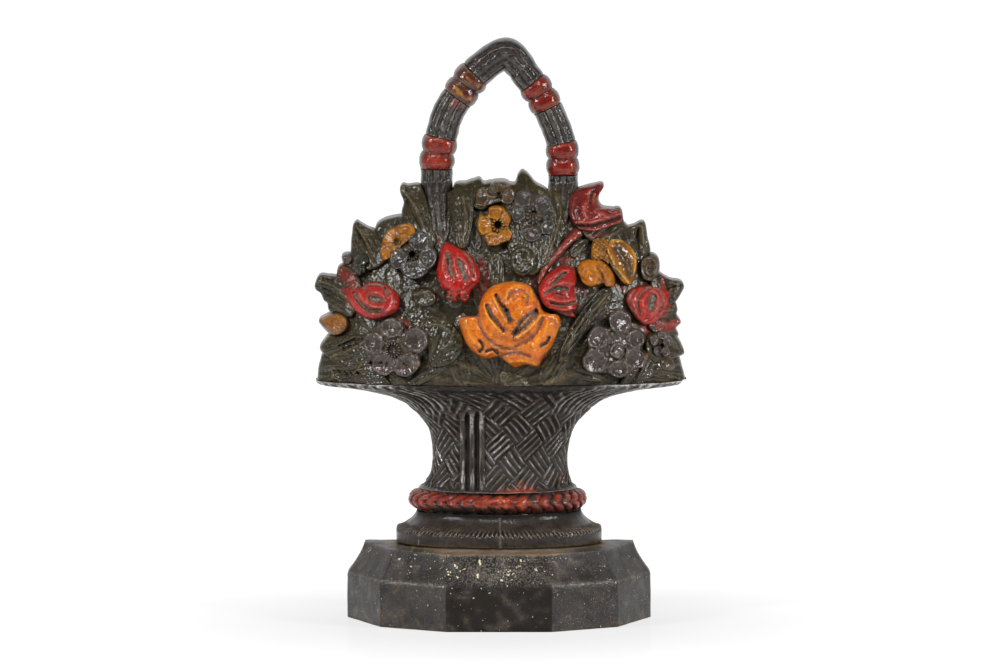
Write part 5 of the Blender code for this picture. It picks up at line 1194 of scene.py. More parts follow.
yellow_paint = painted_iron("flower_yellow", "ochre_paint", (174, 108, 10), (122, 70, 12),
    tint=(78, 54, 28), worn_and_highlight=(226, 178, 88), wear=0.5, chips=0.8, dirt_and_shade=0.9, gloss=0.2, coat=0.6, pebble=1.0,
    brush=300.0)
grey_paint = painted_iron("flower_grey_mauve", "grey_mauve_paint", (80, 66, 62), (56, 48, 43),
    tint=(112, 84, 84), worn_and_highlight=(156, 142, 128), wear=0.6, chips=0.3, dirt_and_shade=0.7, gloss=0.18, coat=0.7,
    pebble=1.1, brush=300.0)
brown_paint = painted_iron("flower_brown", "grey_mauve_paint", (78, 60, 40), (58, 46, 32),
    tint=(120, 76, 34), worn_and_highlight=(172, 146, 104), wear=0.6, chips=0.3, dirt_and_shade=0.9, gloss=0.2, coat=0.8,
    pebble=1.2, brush=300.0)
slate_paint = painted_iron("flower_slate_grey", "grey_mauve_paint", (62, 58, 54), (42, 40, 37),
    tint=(96, 72, 70), worn_and_highlight=(150, 144, 134), wear=0.45, chips=0.3, dirt_and_shade=0.8, gloss=0.16, coat=0.8,
    pebble=1.3, lump=1000.0, brush=300.0)


def inside_petal(x, z, petal):
    """Nothing in the middle of a petal and 1 at its uneven edge."""
    (middle_x, middle_z), half_width, half_height = petal
    plain = np.hypot((x - middle_x) / (1.16 * half_width), (z - middle_z) / (1.16 * half_height))
    return plain * (1 + 0.18 * waves_over(x, z, 1.9, 14.0))


blossom_lift = 1.1
petal_end = 1.12                # a petal's slope ends here, a little past its edge


def blossom(name, node, paint, middle, outline, petals, eye, crown=2.4, bowl=1.1, hole=1.6, marks=(),
            at_edge=False, colour=None, beads=11, ground=1.2):
    """Petals are (middle, half width, half height) of each cup; the outline holds them all together."""
    def rise(x, z, shares):
        out = np.hypot(x - middle[0], z - middle[1])
        turn = np.arctan2(z - middle[1], x - middle[0])
        best = ground * np.sqrt(np.maximum(0, 1 - shares ** 6))
        for petal in petals:
            near = inside_petal(x, z, petal)
            cup = crown - bowl * np.clip(1 - (near / 0.8) ** 2, 0, 1) + 0.05 * np.cos(26 * turn)
            cup = ground + (cup - ground) * np.clip((petal_end - near) / 0.30, 0, 1) ** 0.6
            best = np.maximum(best, np.where(near < petal_end, cup, 0))
        if beads:
            beading = 1 + 0.24 * np.cos(beads * turn)
            ring = (crown + 0.3) * np.exp(-((out - eye) / (0.42 * eye)) ** 2) * beading
        else:
            ring = (crown + 0.6) * np.exp(-(out / (1.45 * eye)) ** 6)
        best = np.maximum(best, np.where(out < 1.8 * eye, ring, 0))
        return blossom_lift + best - hole * np.exp(-(out / (0.62 * eye)) ** 4)

    def worn_and_highlight(x, z, shares):
        best = np.zeros_like(x)
        patchy = np.clip(0.25 + 2.6 * waves_over(x, z, 1.6, 8.0), 0, 1)
        for petal in petals:
            best = np.maximum(best, 0.6 * np.exp(-((inside_petal(x, z, petal) - 0.86) / 0.07) ** 2) * patchy)
        out = np.hypot(x - middle[0], z - middle[1])
        beading = np.cos(beads * np.arctan2(z - middle[1], x - middle[0]))
        return np.maximum(best, 0.8 * np.exp(-((out - eye) / (0.25 * eye)) ** 2) * np.clip(beading, 0, 1))

    sunk_eye = (-0.1, eye, [(middle[0] - 0.1, middle[1]), (middle[0] + 0.1, middle[1])])
    form(name, node, paint, middle, traced(outline, 240), rise, [*marks, sunk_eye], at_edge, 0.26,
         colour, wear_and_highlight=worn_and_highlight)


blossom("grey_left_cups", "grey_flower_left", grey_paint, (-40.3, 104.6), [
    (-51.6, 106), (-50.5, 110.2), (-46.6, 112.6), (-44.7, 115.3), (-40.9, 116.8), (-37.1, 115.2),
    (-34.8, 112.3), (-30.7, 113.5), (-26.9, 110.6), (-26.9, 106.1), (-29.5, 103), (-29.9, 98.5),
    (-33.7, 94.6), (-37.9, 94.5), (-39.8, 95.9), (-43.6, 94.3), (-47.8, 95.6), (-48.5, 99.7),
    (-50.5, 101.9)],
    [((-47.8, 106.9), 3.6, 3.7), ((-40.9, 112.9), 3.7, 3.5), ((-31.4, 109), 4.2, 4.3),
     ((-43.6, 99.2), 4.3, 3.9), ((-34.8, 98.7), 4.6, 4.0)], 2.4, hole=0.5, beads=15, marks=[
        (-0.8, 0.5, [(-44.7, 99.5), (-44.3, 98.4)]), (-0.8, 0.5, [(-42.8, 98.5), (-42.4, 99.6)]),
        (-0.7, 0.5, [(-36, 99.5), (-34.5, 98.4)])],
    colour=spills((2.4, 0.5, [(-46.6, 97.6), (-42.1, 97)]), (2.6, 0.5, [(-36.7, 97.6), (-31.4, 98.8)])))
blossom("grey_right_cups", "grey_flower_right", grey_paint, (45, 104.1), [
    (42.1, 112.8), (41.7, 117.3), (45.9, 119.7), (50.1, 117.3), (50.5, 113.2), (54.7, 110.7), (55.7, 107.3),
    (53.9, 104.4), (56.2, 101.2), (55.5, 97.5), (52.4, 96.5), (49.4, 94.4), (45.2, 93.4), (41.7, 95.1),
    (38.3, 95.6), (33.4, 96.5), (31.5, 100.7), (33.7, 104.8), (33.4, 109.7), (36.8, 113.8)],
    [((45.9, 115.6), 4.2, 4.2), ((37.5, 109.6), 4.2, 4.1), ((36, 100.6), 4.4, 4.4),
     ((52.4, 108.2), 3.2, 3.4), ((45.5, 97.2), 3.4, 3.0), ((52, 101.1), 3.9, 4.0)],
     2.3, hole=0.1, crown=2.5, beads=0, marks=[
        (-0.9, 0.5, [(42.9, 103.8), (44.7, 106.5), (47.8, 104.5), (46.3, 101.9)]),
        (0.5, 0.4, [(44.8, 103), (45.9, 104.1)])],
    colour=spills((1.0, 0.5, [(51.3, 116.1), (55.5, 110.3), (56.6, 103.8), (53.9, 97.2)])))
blossom("yellow_left_petals", "yellow_flower_left", yellow_paint, (-38.7, 145.2), [
    (-44.8, 137.2), (-45.2, 141.6), (-44.5, 144.9), (-42.6, 148.3), (-39.5, 150.6), (-35.3, 151.8),
    (-31.9, 150.8), (-31.1, 147.9), (-33.8, 145.7), (-36.8, 143.4), (-38.7, 140), (-41.8, 138.4)],
    [((-42.1, 141.3), 2.6, 2.8), ((-40.6, 146.1), 3.1, 3.0), ((-35.7, 148.9), 3.0, 2.4),
     ((-36.1, 145.2), 2.6, 2.4)], 1.2, hole=0.2,
    crown=2.7, ground=1.8, bowl=0.7,
    colour=spills((0.8, 0.7, [(-39.9, 143.3), (-38, 145.5)]), (0.7, 0.6, [(-38.4, 148.8), (-37.6, 146.3)])))
blossom("pansy_petals", "pansy", slate_paint, (-32.8, 140.4), [
    (-42.1, 137.3), (-41.8, 141.4), (-38.3, 143.3), (-34.5, 144.5), (-34.2, 147.5), (-30.7, 149.4),
    (-26.9, 148.1), (-25.8, 144.8), (-23.9, 141.9), (-23.1, 138.6), (-25, 135.6), (-27.3, 133),
    (-31.4, 131), (-35.6, 132), (-37.9, 134.5), (-40.2, 134.4)],
    [((-30.3, 145.5), 3.7, 3.4), ((-38.3, 138.6), 3.2, 3.4), ((-26.9, 139.3), 3.4, 3.6),
     ((-32.2, 134.8), 4.4, 3.3)], 1.7,
    crown=2.9, bowl=0.9)
blossom("yellow_top_petals", "yellow_flower_top", yellow_paint, (-0.4, 151.6), [
    (-8.5, 152), (-7.2, 154.9), (-4.5, 155.7), (-3.8, 158), (-1.1, 158.8), (1.9, 158), (3.4, 156),
    (4.8, 153.8), (3.8, 150.9), (5.3, 148.4), (4.2, 145.8), (1.5, 144.9), (-0.7, 143.8), (-3.8, 144),
    (-5.7, 146.5), (-7.6, 148.7)],
    [((-5.7, 151.7), 2.8, 3.1), ((-1.1, 156.4), 3.0, 2.4), ((2.7, 153.9), 2.0, 2.2),
     ((2.7, 147.6), 2.7, 2.7), ((-2.6, 146.2), 2.8, 2.4)], 2.0, hole=3.4, crown=2.8, ground=1.7, bowl=0.8,
    colour=spills((0.7, 0.7, [(-0.4, 152.1), (1.5, 156.8)]), (0.7, 0.7, [(-3.4, 153.5), (-6.4, 155.7)]),
                  (0.7, 0.7, [(1.5, 150.2), (4.6, 150.2)]), (0.7, 0.6, [(-0.4, 148.7), (0, 145.1)]),
                  (1.3, 0.8, [(-0.4, 151.7), (0, 151.4)])))
blossom("grey_top_cups", "grey_flower_top", slate_paint, (13.3, 154.9), [
    (5.3, 158.6), (5.7, 162.2), (8.4, 164.3), (12.2, 164.3), (14.8, 162.8), (17.9, 163.1), (20.2, 160.2),
    (19.4, 156.6), (19, 153.7), (20.9, 151.1), (19.7, 147.8), (16.7, 147.9), (14.4, 145.4), (10.6, 145.4),
    (8.7, 148.3), (8.7, 151.3), (5.3, 152.7), (4.2, 156)],
    [((8.8, 161.4), 3.3, 3.0), ((17.1, 158.4), 3.0, 4.2), ((18.6, 150.4), 2.4, 3.0),
     ((12.2, 148), 3.3, 2.6), ((6.9, 156), 2.7, 3.4)], 2.4,
    colour=spills((1.3, 0.6, [(12.2, 148.4), (13.3, 147.3)])))
blossom("brown_top_lobes", "brown_flower_top", brown_paint, (0, 162.9), [
    (-9.1, 160.7), (-8.7, 164.3), (-6.4, 165.4), (-4.5, 164.7), (-3, 166.9), (0, 167.6), (3.1, 167.2),
    (5.7, 164.7), (6.1, 161.1), (3.8, 158.9), (0.4, 159.7), (-2.6, 158.9), (-4.9, 158.2), (-7.6, 158.2)],
    [((-6.8, 161.8), 2.5, 3.2), ((-2.6, 164), 2.4, 2.3), ((1.5, 165.1), 2.6, 2.3),
     ((3.8, 161.8), 2.4, 2.6)], 1.0, hole=0.6,
    crown=2.2, bowl=1.0, at_edge=True)
blossom("small_grey_cups", "small_grey_flower", grey_paint, (61.8, 105.2), [
    (57.4, 106), (57, 108.7), (59.3, 110), (60.5, 110.7), (62.8, 111.1), (64.3, 109.7), (66.3, 108),
    (66.3, 105.4), (64.7, 104.4), (65.5, 101.7), (63.2, 100.5), (61.6, 102), (59.7, 101.3), (58.2, 103.3)],
    [((62.2, 109.3), 1.7, 1.6), ((58.9, 107.4), 1.7, 1.7), ((64.3, 106.7), 1.8, 1.8),
     ((60.3, 103.2), 1.6, 1.6), ((63.2, 102.6), 1.7, 1.6)],
     1.1, crown=2.4, bowl=0.7, hole=1.2, at_edge=True)


# Trumpet flower. A lobed globe, a knobbed neck and a crescent dish make one orange flower, seen from its
# side. It is cast in one with the bed, stippled all over and painted like the rose.

trumpet_paint = painted_iron("trumpet_ochre_orange", "orange_paint", (196, 114, 12), (150, 82, 12),
    tint=(92, 60, 30), worn_and_highlight=(226, 168, 78), wear=0.5, chips=0.7, dirt_and_shade=0.9, gloss=0.2, coat=0.7, pebble=1.8,
    lump=1300.0, brush=600.0)


def knob_rise(x, z, shares):
    return swollen(3.2, 3)(x, z, shares) + 0.4 * np.cos(x * 3.3 + z) * np.cos(z * 3.1)


def dish_rise(x, z, shares):
    return swollen(3.0, 6)(x, z, shares) - 1.3 * np.exp(-(shares / 0.6) ** 4)


form("trumpet_lobes", "trumpet_globe", trumpet_paint, (36.4, 133.5), traced([
    (29.8, 132.9), (29.6, 135.5), (31.5, 137.7), (35.3, 138.5), (39.1, 138.2), (42.2, 135.5), (44.1, 131.7),
    (43.9, 128.4), (41.8, 127.5), (39.9, 128.9), (37.6, 128.6), (34.5, 128), (31.5, 129.7)], 160),
    swollen(4.8), [
        (-0.8, 0.6, [(39.9, 129.3), (39.1, 132.7), (37.6, 135.3)]),
        (-0.6, 0.6, [(34.2, 137.6), (35.3, 133.9)])],
     pitch=0.28, sway=0.9)
form("trumpet_knob", "trumpet_neck", yellow_paint, (38.8, 142.2), traced([
    (35.3, 137.6), (34.9, 142), (35.7, 145.6), (38, 146.8), (41.1, 146.1), (42.2, 143.2), (42.9, 139.1),
    (42.2, 135.8), (39.1, 137.4)], 120),
     knob_rise, pitch=0.26, sway=0.7,
     colour=spills((1.6, 0.5, [(36.9, 144.5), (39.5, 141.8), (40.6, 138.1)])))
form("trumpet_rim", "trumpet_dish", yellow_paint, (46, 137.1), traced([
    (41.4, 145.4), (44.5, 146), (47.9, 144.9), (51, 142), (52.7, 138.3), (52.5, 133.5), (50.6, 128.8),
    (48.3, 128.2), (45.6, 130.5), (42.5, 135.1), (40.3, 140.3)], 160),
     dish_rise, [
         (1.0, 0.6, [(40.7, 142.9), (42.6, 139.1), (44.8, 135.3), (47.5, 131.5), (49.8, 128.5)]),
         (0.7, 0.5, [(43, 145.3), (47.6, 144.7), (51, 141.3), (52.1, 136.8), (51.3, 132.1)]),
         (-0.45, 0.8, [(44.9, 141.6), (47.9, 137), (49.8, 132.2)])], pitch=0.28,
     colour=spills((3.0, 0.85, [(45.3, 141.9), (48.3, 137.8), (49.8, 132.9)]),
                   (1.2, 0.8, [(42.6, 138), (46, 132)])))


# Small buds. Round and egg-shaped buds tucked among the leaves, some ridged and one curled like a snail.
# They are cast in one with the bed and painted ochre, dark green, grey or brown.

def small_bud(name, node, paint, middle, outline, crown, grooves, at_edge=False, colour=None):
    """A domed bud; grooves gives the height of its ridges from the place beside and above its middle."""
    def rise(x, z, shares):
        return swollen(crown)(x, z, shares) + grooves(x - middle[0], z - middle[1])

    form(name, node, paint, middle, traced(outline, 110), rise, (), at_edge, 0.24, colour)


def spiral(x, z):
    out = np.hypot(x, z * 0.75)
    return 0.6 * np.cos(2 * math.pi * out / 2.3 - np.arctan2(z, x)) * np.clip((4.4 - out) / 1.5, 0, 1)


dull_ochre = painted_iron("bud_dull_ochre", "ochre_paint", (146, 88, 20), (100, 62, 22), tint=(66, 56, 36),
    worn_and_highlight=(198, 148, 72), wear=0.5, chips=0.5, dirt_and_shade=0.8, gloss=0.2, coat=0.8, pebble=1.1, lump=1100.0,
    brush=300.0)
small_bud("ochre_bud_striped", "ochre_bud", dull_ochre, (-62.4, 112.7), [
    (-68.7, 113.7), (-65.5, 116.1), (-61.6, 117.4), (-57.8, 116.1), (-57.2, 112.4), (-59.7, 109.3),
    (-63.1, 108.3), (-66.2, 110.3)], 3.6,
    lambda x, z: 0.10 * np.cos(2 * math.pi * (0.6 * x + z) / 1.6), at_edge=True,
    colour=spills((2.0, 0.9, [(-69, 114.1), (-66.7, 110.1), (-62.8, 108.1)]),
                  (1.2, 0.62, [(-67.4, 116.4), (-61.3, 117.6), (-57, 114.9)])))
dark_green = painted_iron("bud_dark_green", "olive_green_paint", (44, 46, 30), (28, 30, 22),
    tint=(96, 40, 30), worn_and_highlight=(130, 122, 92), wear=0.45, chips=0.2, dirt_and_shade=0.7, gloss=0.18, coat=0.9,
    pebble=1.2, lump=1000.0, brush=300.0)
small_bud("green_bud_ridged", "green_bud", dark_green, (-52.8, 135.7), [
    (-56.3, 134), (-55.9, 137.7), (-52.9, 140.4), (-49.8, 140.2), (-49, 137.7), (-50.5, 135.1),
    (-50.5, 132.9), (-53.2, 131.2), (-55.5, 132.2)], 4.6,
    lambda x, z: 0.4 * np.cos(2 * math.pi * x / 1.7) * (z < 0) - 0.7 * np.exp(-((z + 0.4) / 0.5) ** 2))
small_bud("grey_bud_round", "grey_bud", grey_paint, (-57.9, 137.4), [
    (-60, 137.6), (-59.6, 138.9), (-57.9, 139.5), (-55.8, 139), (-55.2, 137.4), (-56.7, 135.3),
    (-59, 135.3)], 3.2,
    lambda x, z: -0.8 * np.exp(-(np.hypot(x + 0.6, z + 0.3) / 0.8) ** 2), at_edge=True)
small_bud("curl_bud_spiral", "curl_bud", brown_paint, (57.3, 134.4), [
    (53.6, 133.8), (53.7, 137.1), (55.6, 138.8), (58.7, 139.3), (60.8, 137.6), (61.3, 134.5), (60.6, 130.8),
    (57.9, 128.9), (54.8, 130)], 3.4, spiral,
    at_edge=True)
small_bud("low_bud_round", "low_bud", brown_paint, (64.2, 97.7), [
    (60.5, 97.9), (61.6, 100.4), (64.3, 101), (67, 99.3), (67.8, 96.5), (65.9, 94.4), (62.4, 95.1)], 3.0,
    lambda x, z: -0.6 * np.exp(-(np.hypot(x + 0.4, z) / 0.9) ** 2), at_edge=True)


# Leaves. Soft folded leaves fan out to the casting's edge, with blunt tips and shallow notches. They are
# cast in one with the bed, and like it they are dark olive, rubbed to tan and bare iron at the outer edge.

leaf_fullness = 3.0
vein_spacing = 1.9


def leaf(name, node, middle, outline, lie, marks, crown=1.5, at_edge=True, streak=0.30, colour=None):
    """A leaf inside an outline; lie is the direction of its fibres in degrees."""
    turn = math.radians(lie)

    def rise(x, z, shares):
        across = -(x - middle[0]) * math.sin(turn) + (z - middle[1]) * math.cos(turn)
        fold = 0.5 * np.exp(-(across / 0.8) ** 2) * (1 - shares ** 2)
        body = swollen(crown, leaf_fullness)(x, z, shares)
        drift = 0.8 * waves_over(x, z, 3.0, 6.5, 3.0, lie)
        veins = (1 - np.abs(np.sin(math.pi * (across + drift) / vein_spacing))) ** 3
        veins = veins * np.clip(1.3 - shares, 0, 1)
        return 0.6 + body - fold - 0.42 * veins + streak * waves_over(x, z, 1.3, 6.0, 6.0, lie)

    def worn_and_highlight(x, z, shares):
        near_edge = np.exp(-((1 - shares) / 0.07) ** 2)
        patchy = np.clip(0.6 + 1.5 * waves_over(x, z, 2.5, 5.0), 0, 1)
        return (0.6 if at_edge else 0.45) * near_edge * patchy

    form(name, node, olive_paint, middle, traced(outline, 200), rise, marks, at_edge,
         0.32, colour, wear_and_highlight=worn_and_highlight)


leaf("tall_leaf", "leaf_tall", (-32.7, 155.8), [
    (-37.7, 164.5), (-36.5, 166), (-34.6, 165.6), (-30, 165.6), (-27.4, 160.4), (-25, 151.4),
    (-23.9, 144.8), (-26.9, 142.2), (-31.5, 146.5), (-35.7, 151.4), (-37.1, 155), (-36.3, 159),
    (-37.5, 162.4)], 115, [
        (0.6, 0.5, [(-36.9, 163.8), (-33.1, 159.4), (-28.5, 150.9)]),
        (-0.6, 0.5, [(-35.4, 164.5), (-31.2, 159.1), (-26.9, 149.4)]),
        (0.5, 0.5, [(-34.6, 161.5), (-30.4, 156.6)])])
leaf("round_leaf", "leaf_round", (-41, 148.6), [
    (-47, 148.4), (-46.4, 150.8), (-44.1, 152.4), (-41.1, 153.4), (-36.9, 153.9), (-33.4, 151.9),
    (-31.5, 146.5), (-33.8, 142), (-39.5, 141.8), (-44.5, 143.8)],
    60, [(-0.5, 0.5, [(-45.3, 150.9), (-41.4, 149.7), (-37.6, 146.2)])])
leaf("left_tip_leaf", "leaf_left_tip", (-51, 143), [
    (-55.6, 150.2), (-54.2, 151.8), (-52.5, 150.9), (-49.9, 149.4), (-46.8, 148.1), (-44.1, 144.2),
    (-42.1, 138.8), (-45.9, 134.9), (-52.1, 133.1), (-56.3, 135.1), (-56.7, 138.7), (-56.5, 141),
    (-56.3, 144.8), (-55.9, 147.9)], 120, [
        (0.6, 0.5, [(-54.1, 150), (-51.4, 145.6), (-47.9, 140.3)]),
        (-0.5, 0.5, [(-54.8, 145.4), (-52.1, 141.1)])])
leaf("far_left_leaf", "leaf_far_left", (-62.4, 124.6), [
    (-70.1, 128), (-68.2, 131.2), (-64.5, 131.1), (-61.7, 131.1), (-61.5, 133.8), (-59.2, 135.1),
    (-54.4, 133), (-52, 128.3), (-52.8, 122), (-56.2, 115.8), (-61.2, 117.4), (-64.7, 117.7),
    (-65.5, 120.4), (-66.8, 121.5), (-68, 124.2), (-69.9, 125.7)], 160, [
        (0.5, 0.6, [(-68.2, 129), (-63.6, 127.6), (-57.4, 122.4)]),
        (-0.5, 0.5, [(-69, 125.6), (-64.4, 123.4)]),
        (-0.6, 0.5, [(-61.3, 130.9), (-59.4, 127.8), (-56.7, 125.4)])],
    colour=spills((4.0, 0.60, [(-60.2, 132.9), (-57.4, 130.5), (-55.1, 128.1)]),
                  (2.4, 0.58, [(-59, 126), (-55.9, 120.6)])))
leaf("low_left_leaf", "leaf_low_left", (-58.9, 104.3), [
    (-64.7, 108.3), (-59.7, 108.9), (-54.7, 109.6), (-49.7, 109.5), (-46.6, 104.4), (-49.7, 98.2),
    (-57.4, 97.7), (-63.9, 99.5), (-67.1, 101.5), (-68.3, 103.7), (-66.6, 106.5)], 25, [
        (0.9, 0.7, [(-66.3, 97.6), (-63.1, 101), (-57.8, 103.3), (-52.8, 106.2), (-49.7, 108.6)]),
        (-0.9, 0.6, [(-60.5, 105), (-55.8, 107.5), (-51.6, 108.2)]),
        (0.5, 0.4, [(-59.7, 106.2), (-55.1, 108.7)]),
        (-0.8, 0.35, [(-59.3, 104.3), (-58.1, 103.6)]), (-0.8, 0.35, [(-57, 105.2), (-55.8, 104.5)]),
        (-0.8, 0.35, [(-54.3, 106.5), (-53.2, 105.8)])])
leaf("left_corner_leaf", "leaf_corner_left", (-57.8, 96.1), [
    (-67, 101.2), (-62, 100.8), (-54.3, 100.2), (-47, 98.3), (-42.4, 93.9), (-42.1, 90.9), (-58.5, 90),
    (-68.2, 89.3), (-69, 94.5), (-68.2, 98.4)],
    10, [(0.7, 0.6, [(-63.6, 96.3), (-62.8, 93.4), (-60.5, 91.6)]),
         (-0.9, 0.4, [(-60.8, 95.5), (-60.1, 94.8)]),
         (-0.9, 0.4, [(-58.5, 95.3), (-57.8, 94.6)]), (-0.9, 0.4, [(-56.2, 95), (-55.5, 94.3)]),
         (-0.9, 0.4, [(-53.9, 95.6), (-53.2, 94.8)]),
         (0.6, 0.5, [(-51.2, 100.3), (-53.5, 96.7), (-57.4, 93.1)])])
leaf("striped_leaf", "leaf_stem_side", (-14, 155.2), [
    (-17.5, 164.2), (-16, 166.4), (-12.5, 166.8), (-9.5, 167.6), (-8.3, 164.3), (-9.1, 158.9),
    (-10.2, 149.8), (-11.7, 143.9), (-15.1, 142.4), (-17.4, 147.9), (-18.2, 157)], 93, [
        (0.5, 0.5, [(-13.7, 162), (-12.5, 155.2), (-13.6, 145.4)]),
        (-0.6, 0.45, [(-15.6, 160.6), (-14.8, 153.4), (-15.1, 144.6)]),
        (-0.6, 0.45, [(-11.8, 160.6), (-11, 153.4), (-12.5, 146.1)])], crown=2.4, streak=0.45)
leaf("top_leaf", "leaf_top", (-8, 162.5), [
    (-13.3, 165.4), (-10.2, 167.4), (-7.4, 168.3), (-5.7, 166.7), (-2.6, 166.9), (-1.9, 162.2),
    (-5.3, 157.1), (-9.8, 157.8), (-12.5, 161.4)], 70, [
        (-0.5, 0.5, [(-7.6, 166.7), (-8.3, 162.1)])])
leaf("top_middle_leaf", "leaf_top_middle", (11.8, 151.6), [
    (3.4, 165.8), (6.1, 166.5), (7.2, 169.4), (8.8, 171.2), (10.7, 170.2), (12.2, 168.6), (14.1, 166.4),
    (18.3, 163.8), (21.7, 158.4), (22.4, 152.5), (20.5, 144.9), (17.4, 136.9), (12.1, 132.5), (6.1, 137),
    (2.3, 146.2), (2.3, 158.9)], 95, [
        (0.8, 0.6, [(15.6, 164.1), (19.8, 159), (21.7, 153.9), (19.7, 145.9), (17.1, 137.9)]),
        (-0.5, 0.6, [(8.4, 169.2), (8, 165.6)])])
leaf("narrow_leaf", "leaf_beside_grey", (20.5, 145.9), [
    (18.6, 163.5), (21.7, 164.1), (25.5, 160.4), (26.2, 155), (24.7, 147.4), (21.6, 141.6), (17.8, 134.3),
    (15.6, 135.8), (16.7, 144.2), (19, 153.3)],
    100, [(0.6, 0.5, [(21.7, 161.8), (23.6, 156.1), (21.3, 147.4), (17.5, 137.2)])])
leaf("leaf_under_tulip", "leaf_behind_tulip", (38.4, 146.9), [
    (30.8, 152.3), (38.4, 155), (44.6, 157), (46.8, 155.9), (47.6, 151.7), (49.1, 149.4), (47.6, 145.1),
    (43, 143.1), (36.9, 144.1), (32.3, 147.2)],
    35, [(0.6, 0.5, [(38.4, 145.4), (43, 147.4), (46.8, 149.1)])],
    colour=spills((2.0, 0.5, [(34.6, 147), (40.7, 147.5)])))
leaf("right_tip_leaf", "leaf_right_tip", (52.2, 144.8), [
    (44.1, 146), (47.2, 149.1), (51.4, 150.4), (54.1, 151.7), (55.8, 150.8), (56.7, 145.6), (57.7, 139.9),
    (54.4, 136.7), (49.8, 138.4), (45.2, 141.6)], 75, [
        (0.9, 0.6, [(54.5, 150), (54.9, 145.5), (55.2, 140.2)]),
        (-0.8, 0.5, [(53, 148.5), (53, 144), (53.7, 139.6)]),
        (-0.4, 0.5, [(49.9, 147.8), (49.1, 143.5)])])
leaf("far_right_leaf", "leaf_far_right", (64, 125.7), [
    (60.6, 132.2), (62.9, 130.9), (65.5, 129.6), (69, 129), (70.6, 126.9), (69.5, 124.2), (67.3, 120.8),
    (63.6, 117.6), (59.4, 120.1), (57.5, 126.2), (57.9, 131)], 20, [
        (0.6, 0.5, [(65.9, 128.6), (68.2, 126.7), (66.7, 122.9)]),
        (-0.5, 0.5, [(62.9, 129.4), (64.4, 124.9)])],
    colour=spills((1.2, 0.75, [(62.9, 130.5), (62.1, 127.6), (64.4, 124.8)]),
                  (1.5, 0.5, [(59.4, 128.5), (55.6, 128.4)])))
leaf("right_middle_leaf", "leaf_right_middle", (62.1, 115.4), [
    (64.4, 121.2), (67.1, 120.8), (68.1, 118.1), (67.8, 116), (69.4, 113.1), (67.6, 110.9), (68.2, 107.9),
    (61.2, 108), (56.6, 112.1), (56.7, 118.1), (59.7, 121.6)], 5, [
        (0.5, 0.5, [(62.8, 118.3), (66.3, 118.3)]), (0.5, 0.5, [(62.8, 113.5), (67.1, 113)])],
    colour=spills((2.6, 0.8, [(60.5, 112.5), (64.4, 112.1), (68.2, 113)]),
                  (1.6, 0.6, [(65.2, 120.7), (62.8, 115.3)])))
leaf("low_right_leaf", "leaf_low_right", (63.2, 104.8), [
    (65.9, 110.3), (67.8, 107.9), (69.8, 104.3), (70.7, 101.3), (68.8, 100.1), (65.1, 98.7), (59.3, 98.3),
    (55.5, 103.1), (56.6, 109.1), (61.3, 111)],
    340, [(0.5, 0.5, [(65.9, 106.8), (68.6, 102.7)])])
leaf("inner_right_leaf", "leaf_inner_right", (53.6, 97.1), [
    (52.8, 104), (55.9, 103.1), (59.3, 99.9), (61.2, 95.2), (59.7, 90.7), (53.6, 90.3), (45.9, 90.7),
    (48.2, 96), (50.5, 100.4)], 60, [
        (0.6, 0.5, [(55.9, 107.5), (56.6, 103), (54.7, 97)])],
    colour=spills((1.6, 0.6, [(55.5, 105.7), (56.6, 101.5)])))
leaf("right_corner_leaf", "leaf_corner_right", (62.4, 94.2), [
    (65.9, 100.1), (68.8, 99.5), (69.9, 96), (70.9, 92.1), (70.5, 89), (59.3, 90), (50.5, 90.5),
    (53.6, 94.2), (58.2, 97.7), (62, 99.7)],
    350, [(0.5, 0.5, [(57.4, 93.8), (62.8, 94.2), (68.2, 92.1)])])
leaf("rolled_leaf", "folded_leaf", (-23.4, 107.3), [
    (-28.8, 115.5), (-23.8, 117.1), (-18.5, 115.6), (-14.4, 111.2), (-13.2, 106.7), (-16.3, 100.6),
    (-21.9, 97.9), (-26.5, 98.9), (-27.2, 105), (-29.1, 110.2)],
    70, [(0.6, 0.5, [(-27.2, 114), (-22.3, 114.5), (-17.8, 111.1)]),
         (0.5, 0.5, [(-21.9, 105.1), (-18.5, 107.7), (-17.4, 111.1)]),
         (-0.5, 0.4, [(-20.8, 103.2), (-16.6, 105.1)]), (-0.5, 0.4, [(-22.3, 100.9), (-17.8, 102.5)])],
         at_edge=False, crown=1.2)
leaf("leaf_below_trumpet", "leaf_under_trumpet", (33.7, 117.6), [
    (42.9, 126.9), (42.9, 123.2), (39.1, 118.2), (34.5, 113.8), (29.9, 107.2), (25.4, 101.2), (22.4, 100.5),
    (23.9, 107.3), (27.7, 114), (32.2, 120.6), (36.8, 125.7), (39.8, 127.8)], 55, [
        (0.7, 0.5, [(41.4, 125.5), (36.8, 120.5), (31.5, 115.4), (26.1, 106.5)]),
        (-0.8, 0.5, [(39.5, 126.3), (33.7, 120.6), (28.4, 113.2)]),
        (-0.5, 0.5, [(40.6, 122.6), (34.5, 116.1), (27.7, 106.5)])],
     at_edge=False)
leaf("leaf_dark", "dark_leaf", (30, 143.2), [
    (26.6, 141.5), (28.1, 144.4), (31.1, 145.8), (34.2, 145.7), (33.4, 143.1), (31.1, 140.6),
    (28.1, 138.9)], 40, [
        (0.6, 0.4, [(26.6, 139.9), (30.8, 139.1), (33.8, 141.9), (35, 145.2)])], at_edge=False, crown=1.2)


def cupped(depth):
    """An oval leaf with a raised rim round a hollow."""
    return lambda x, z, shares: swollen(3.2, 5)(x, z, shares) - depth * np.exp(-(shares / 0.6) ** 3)


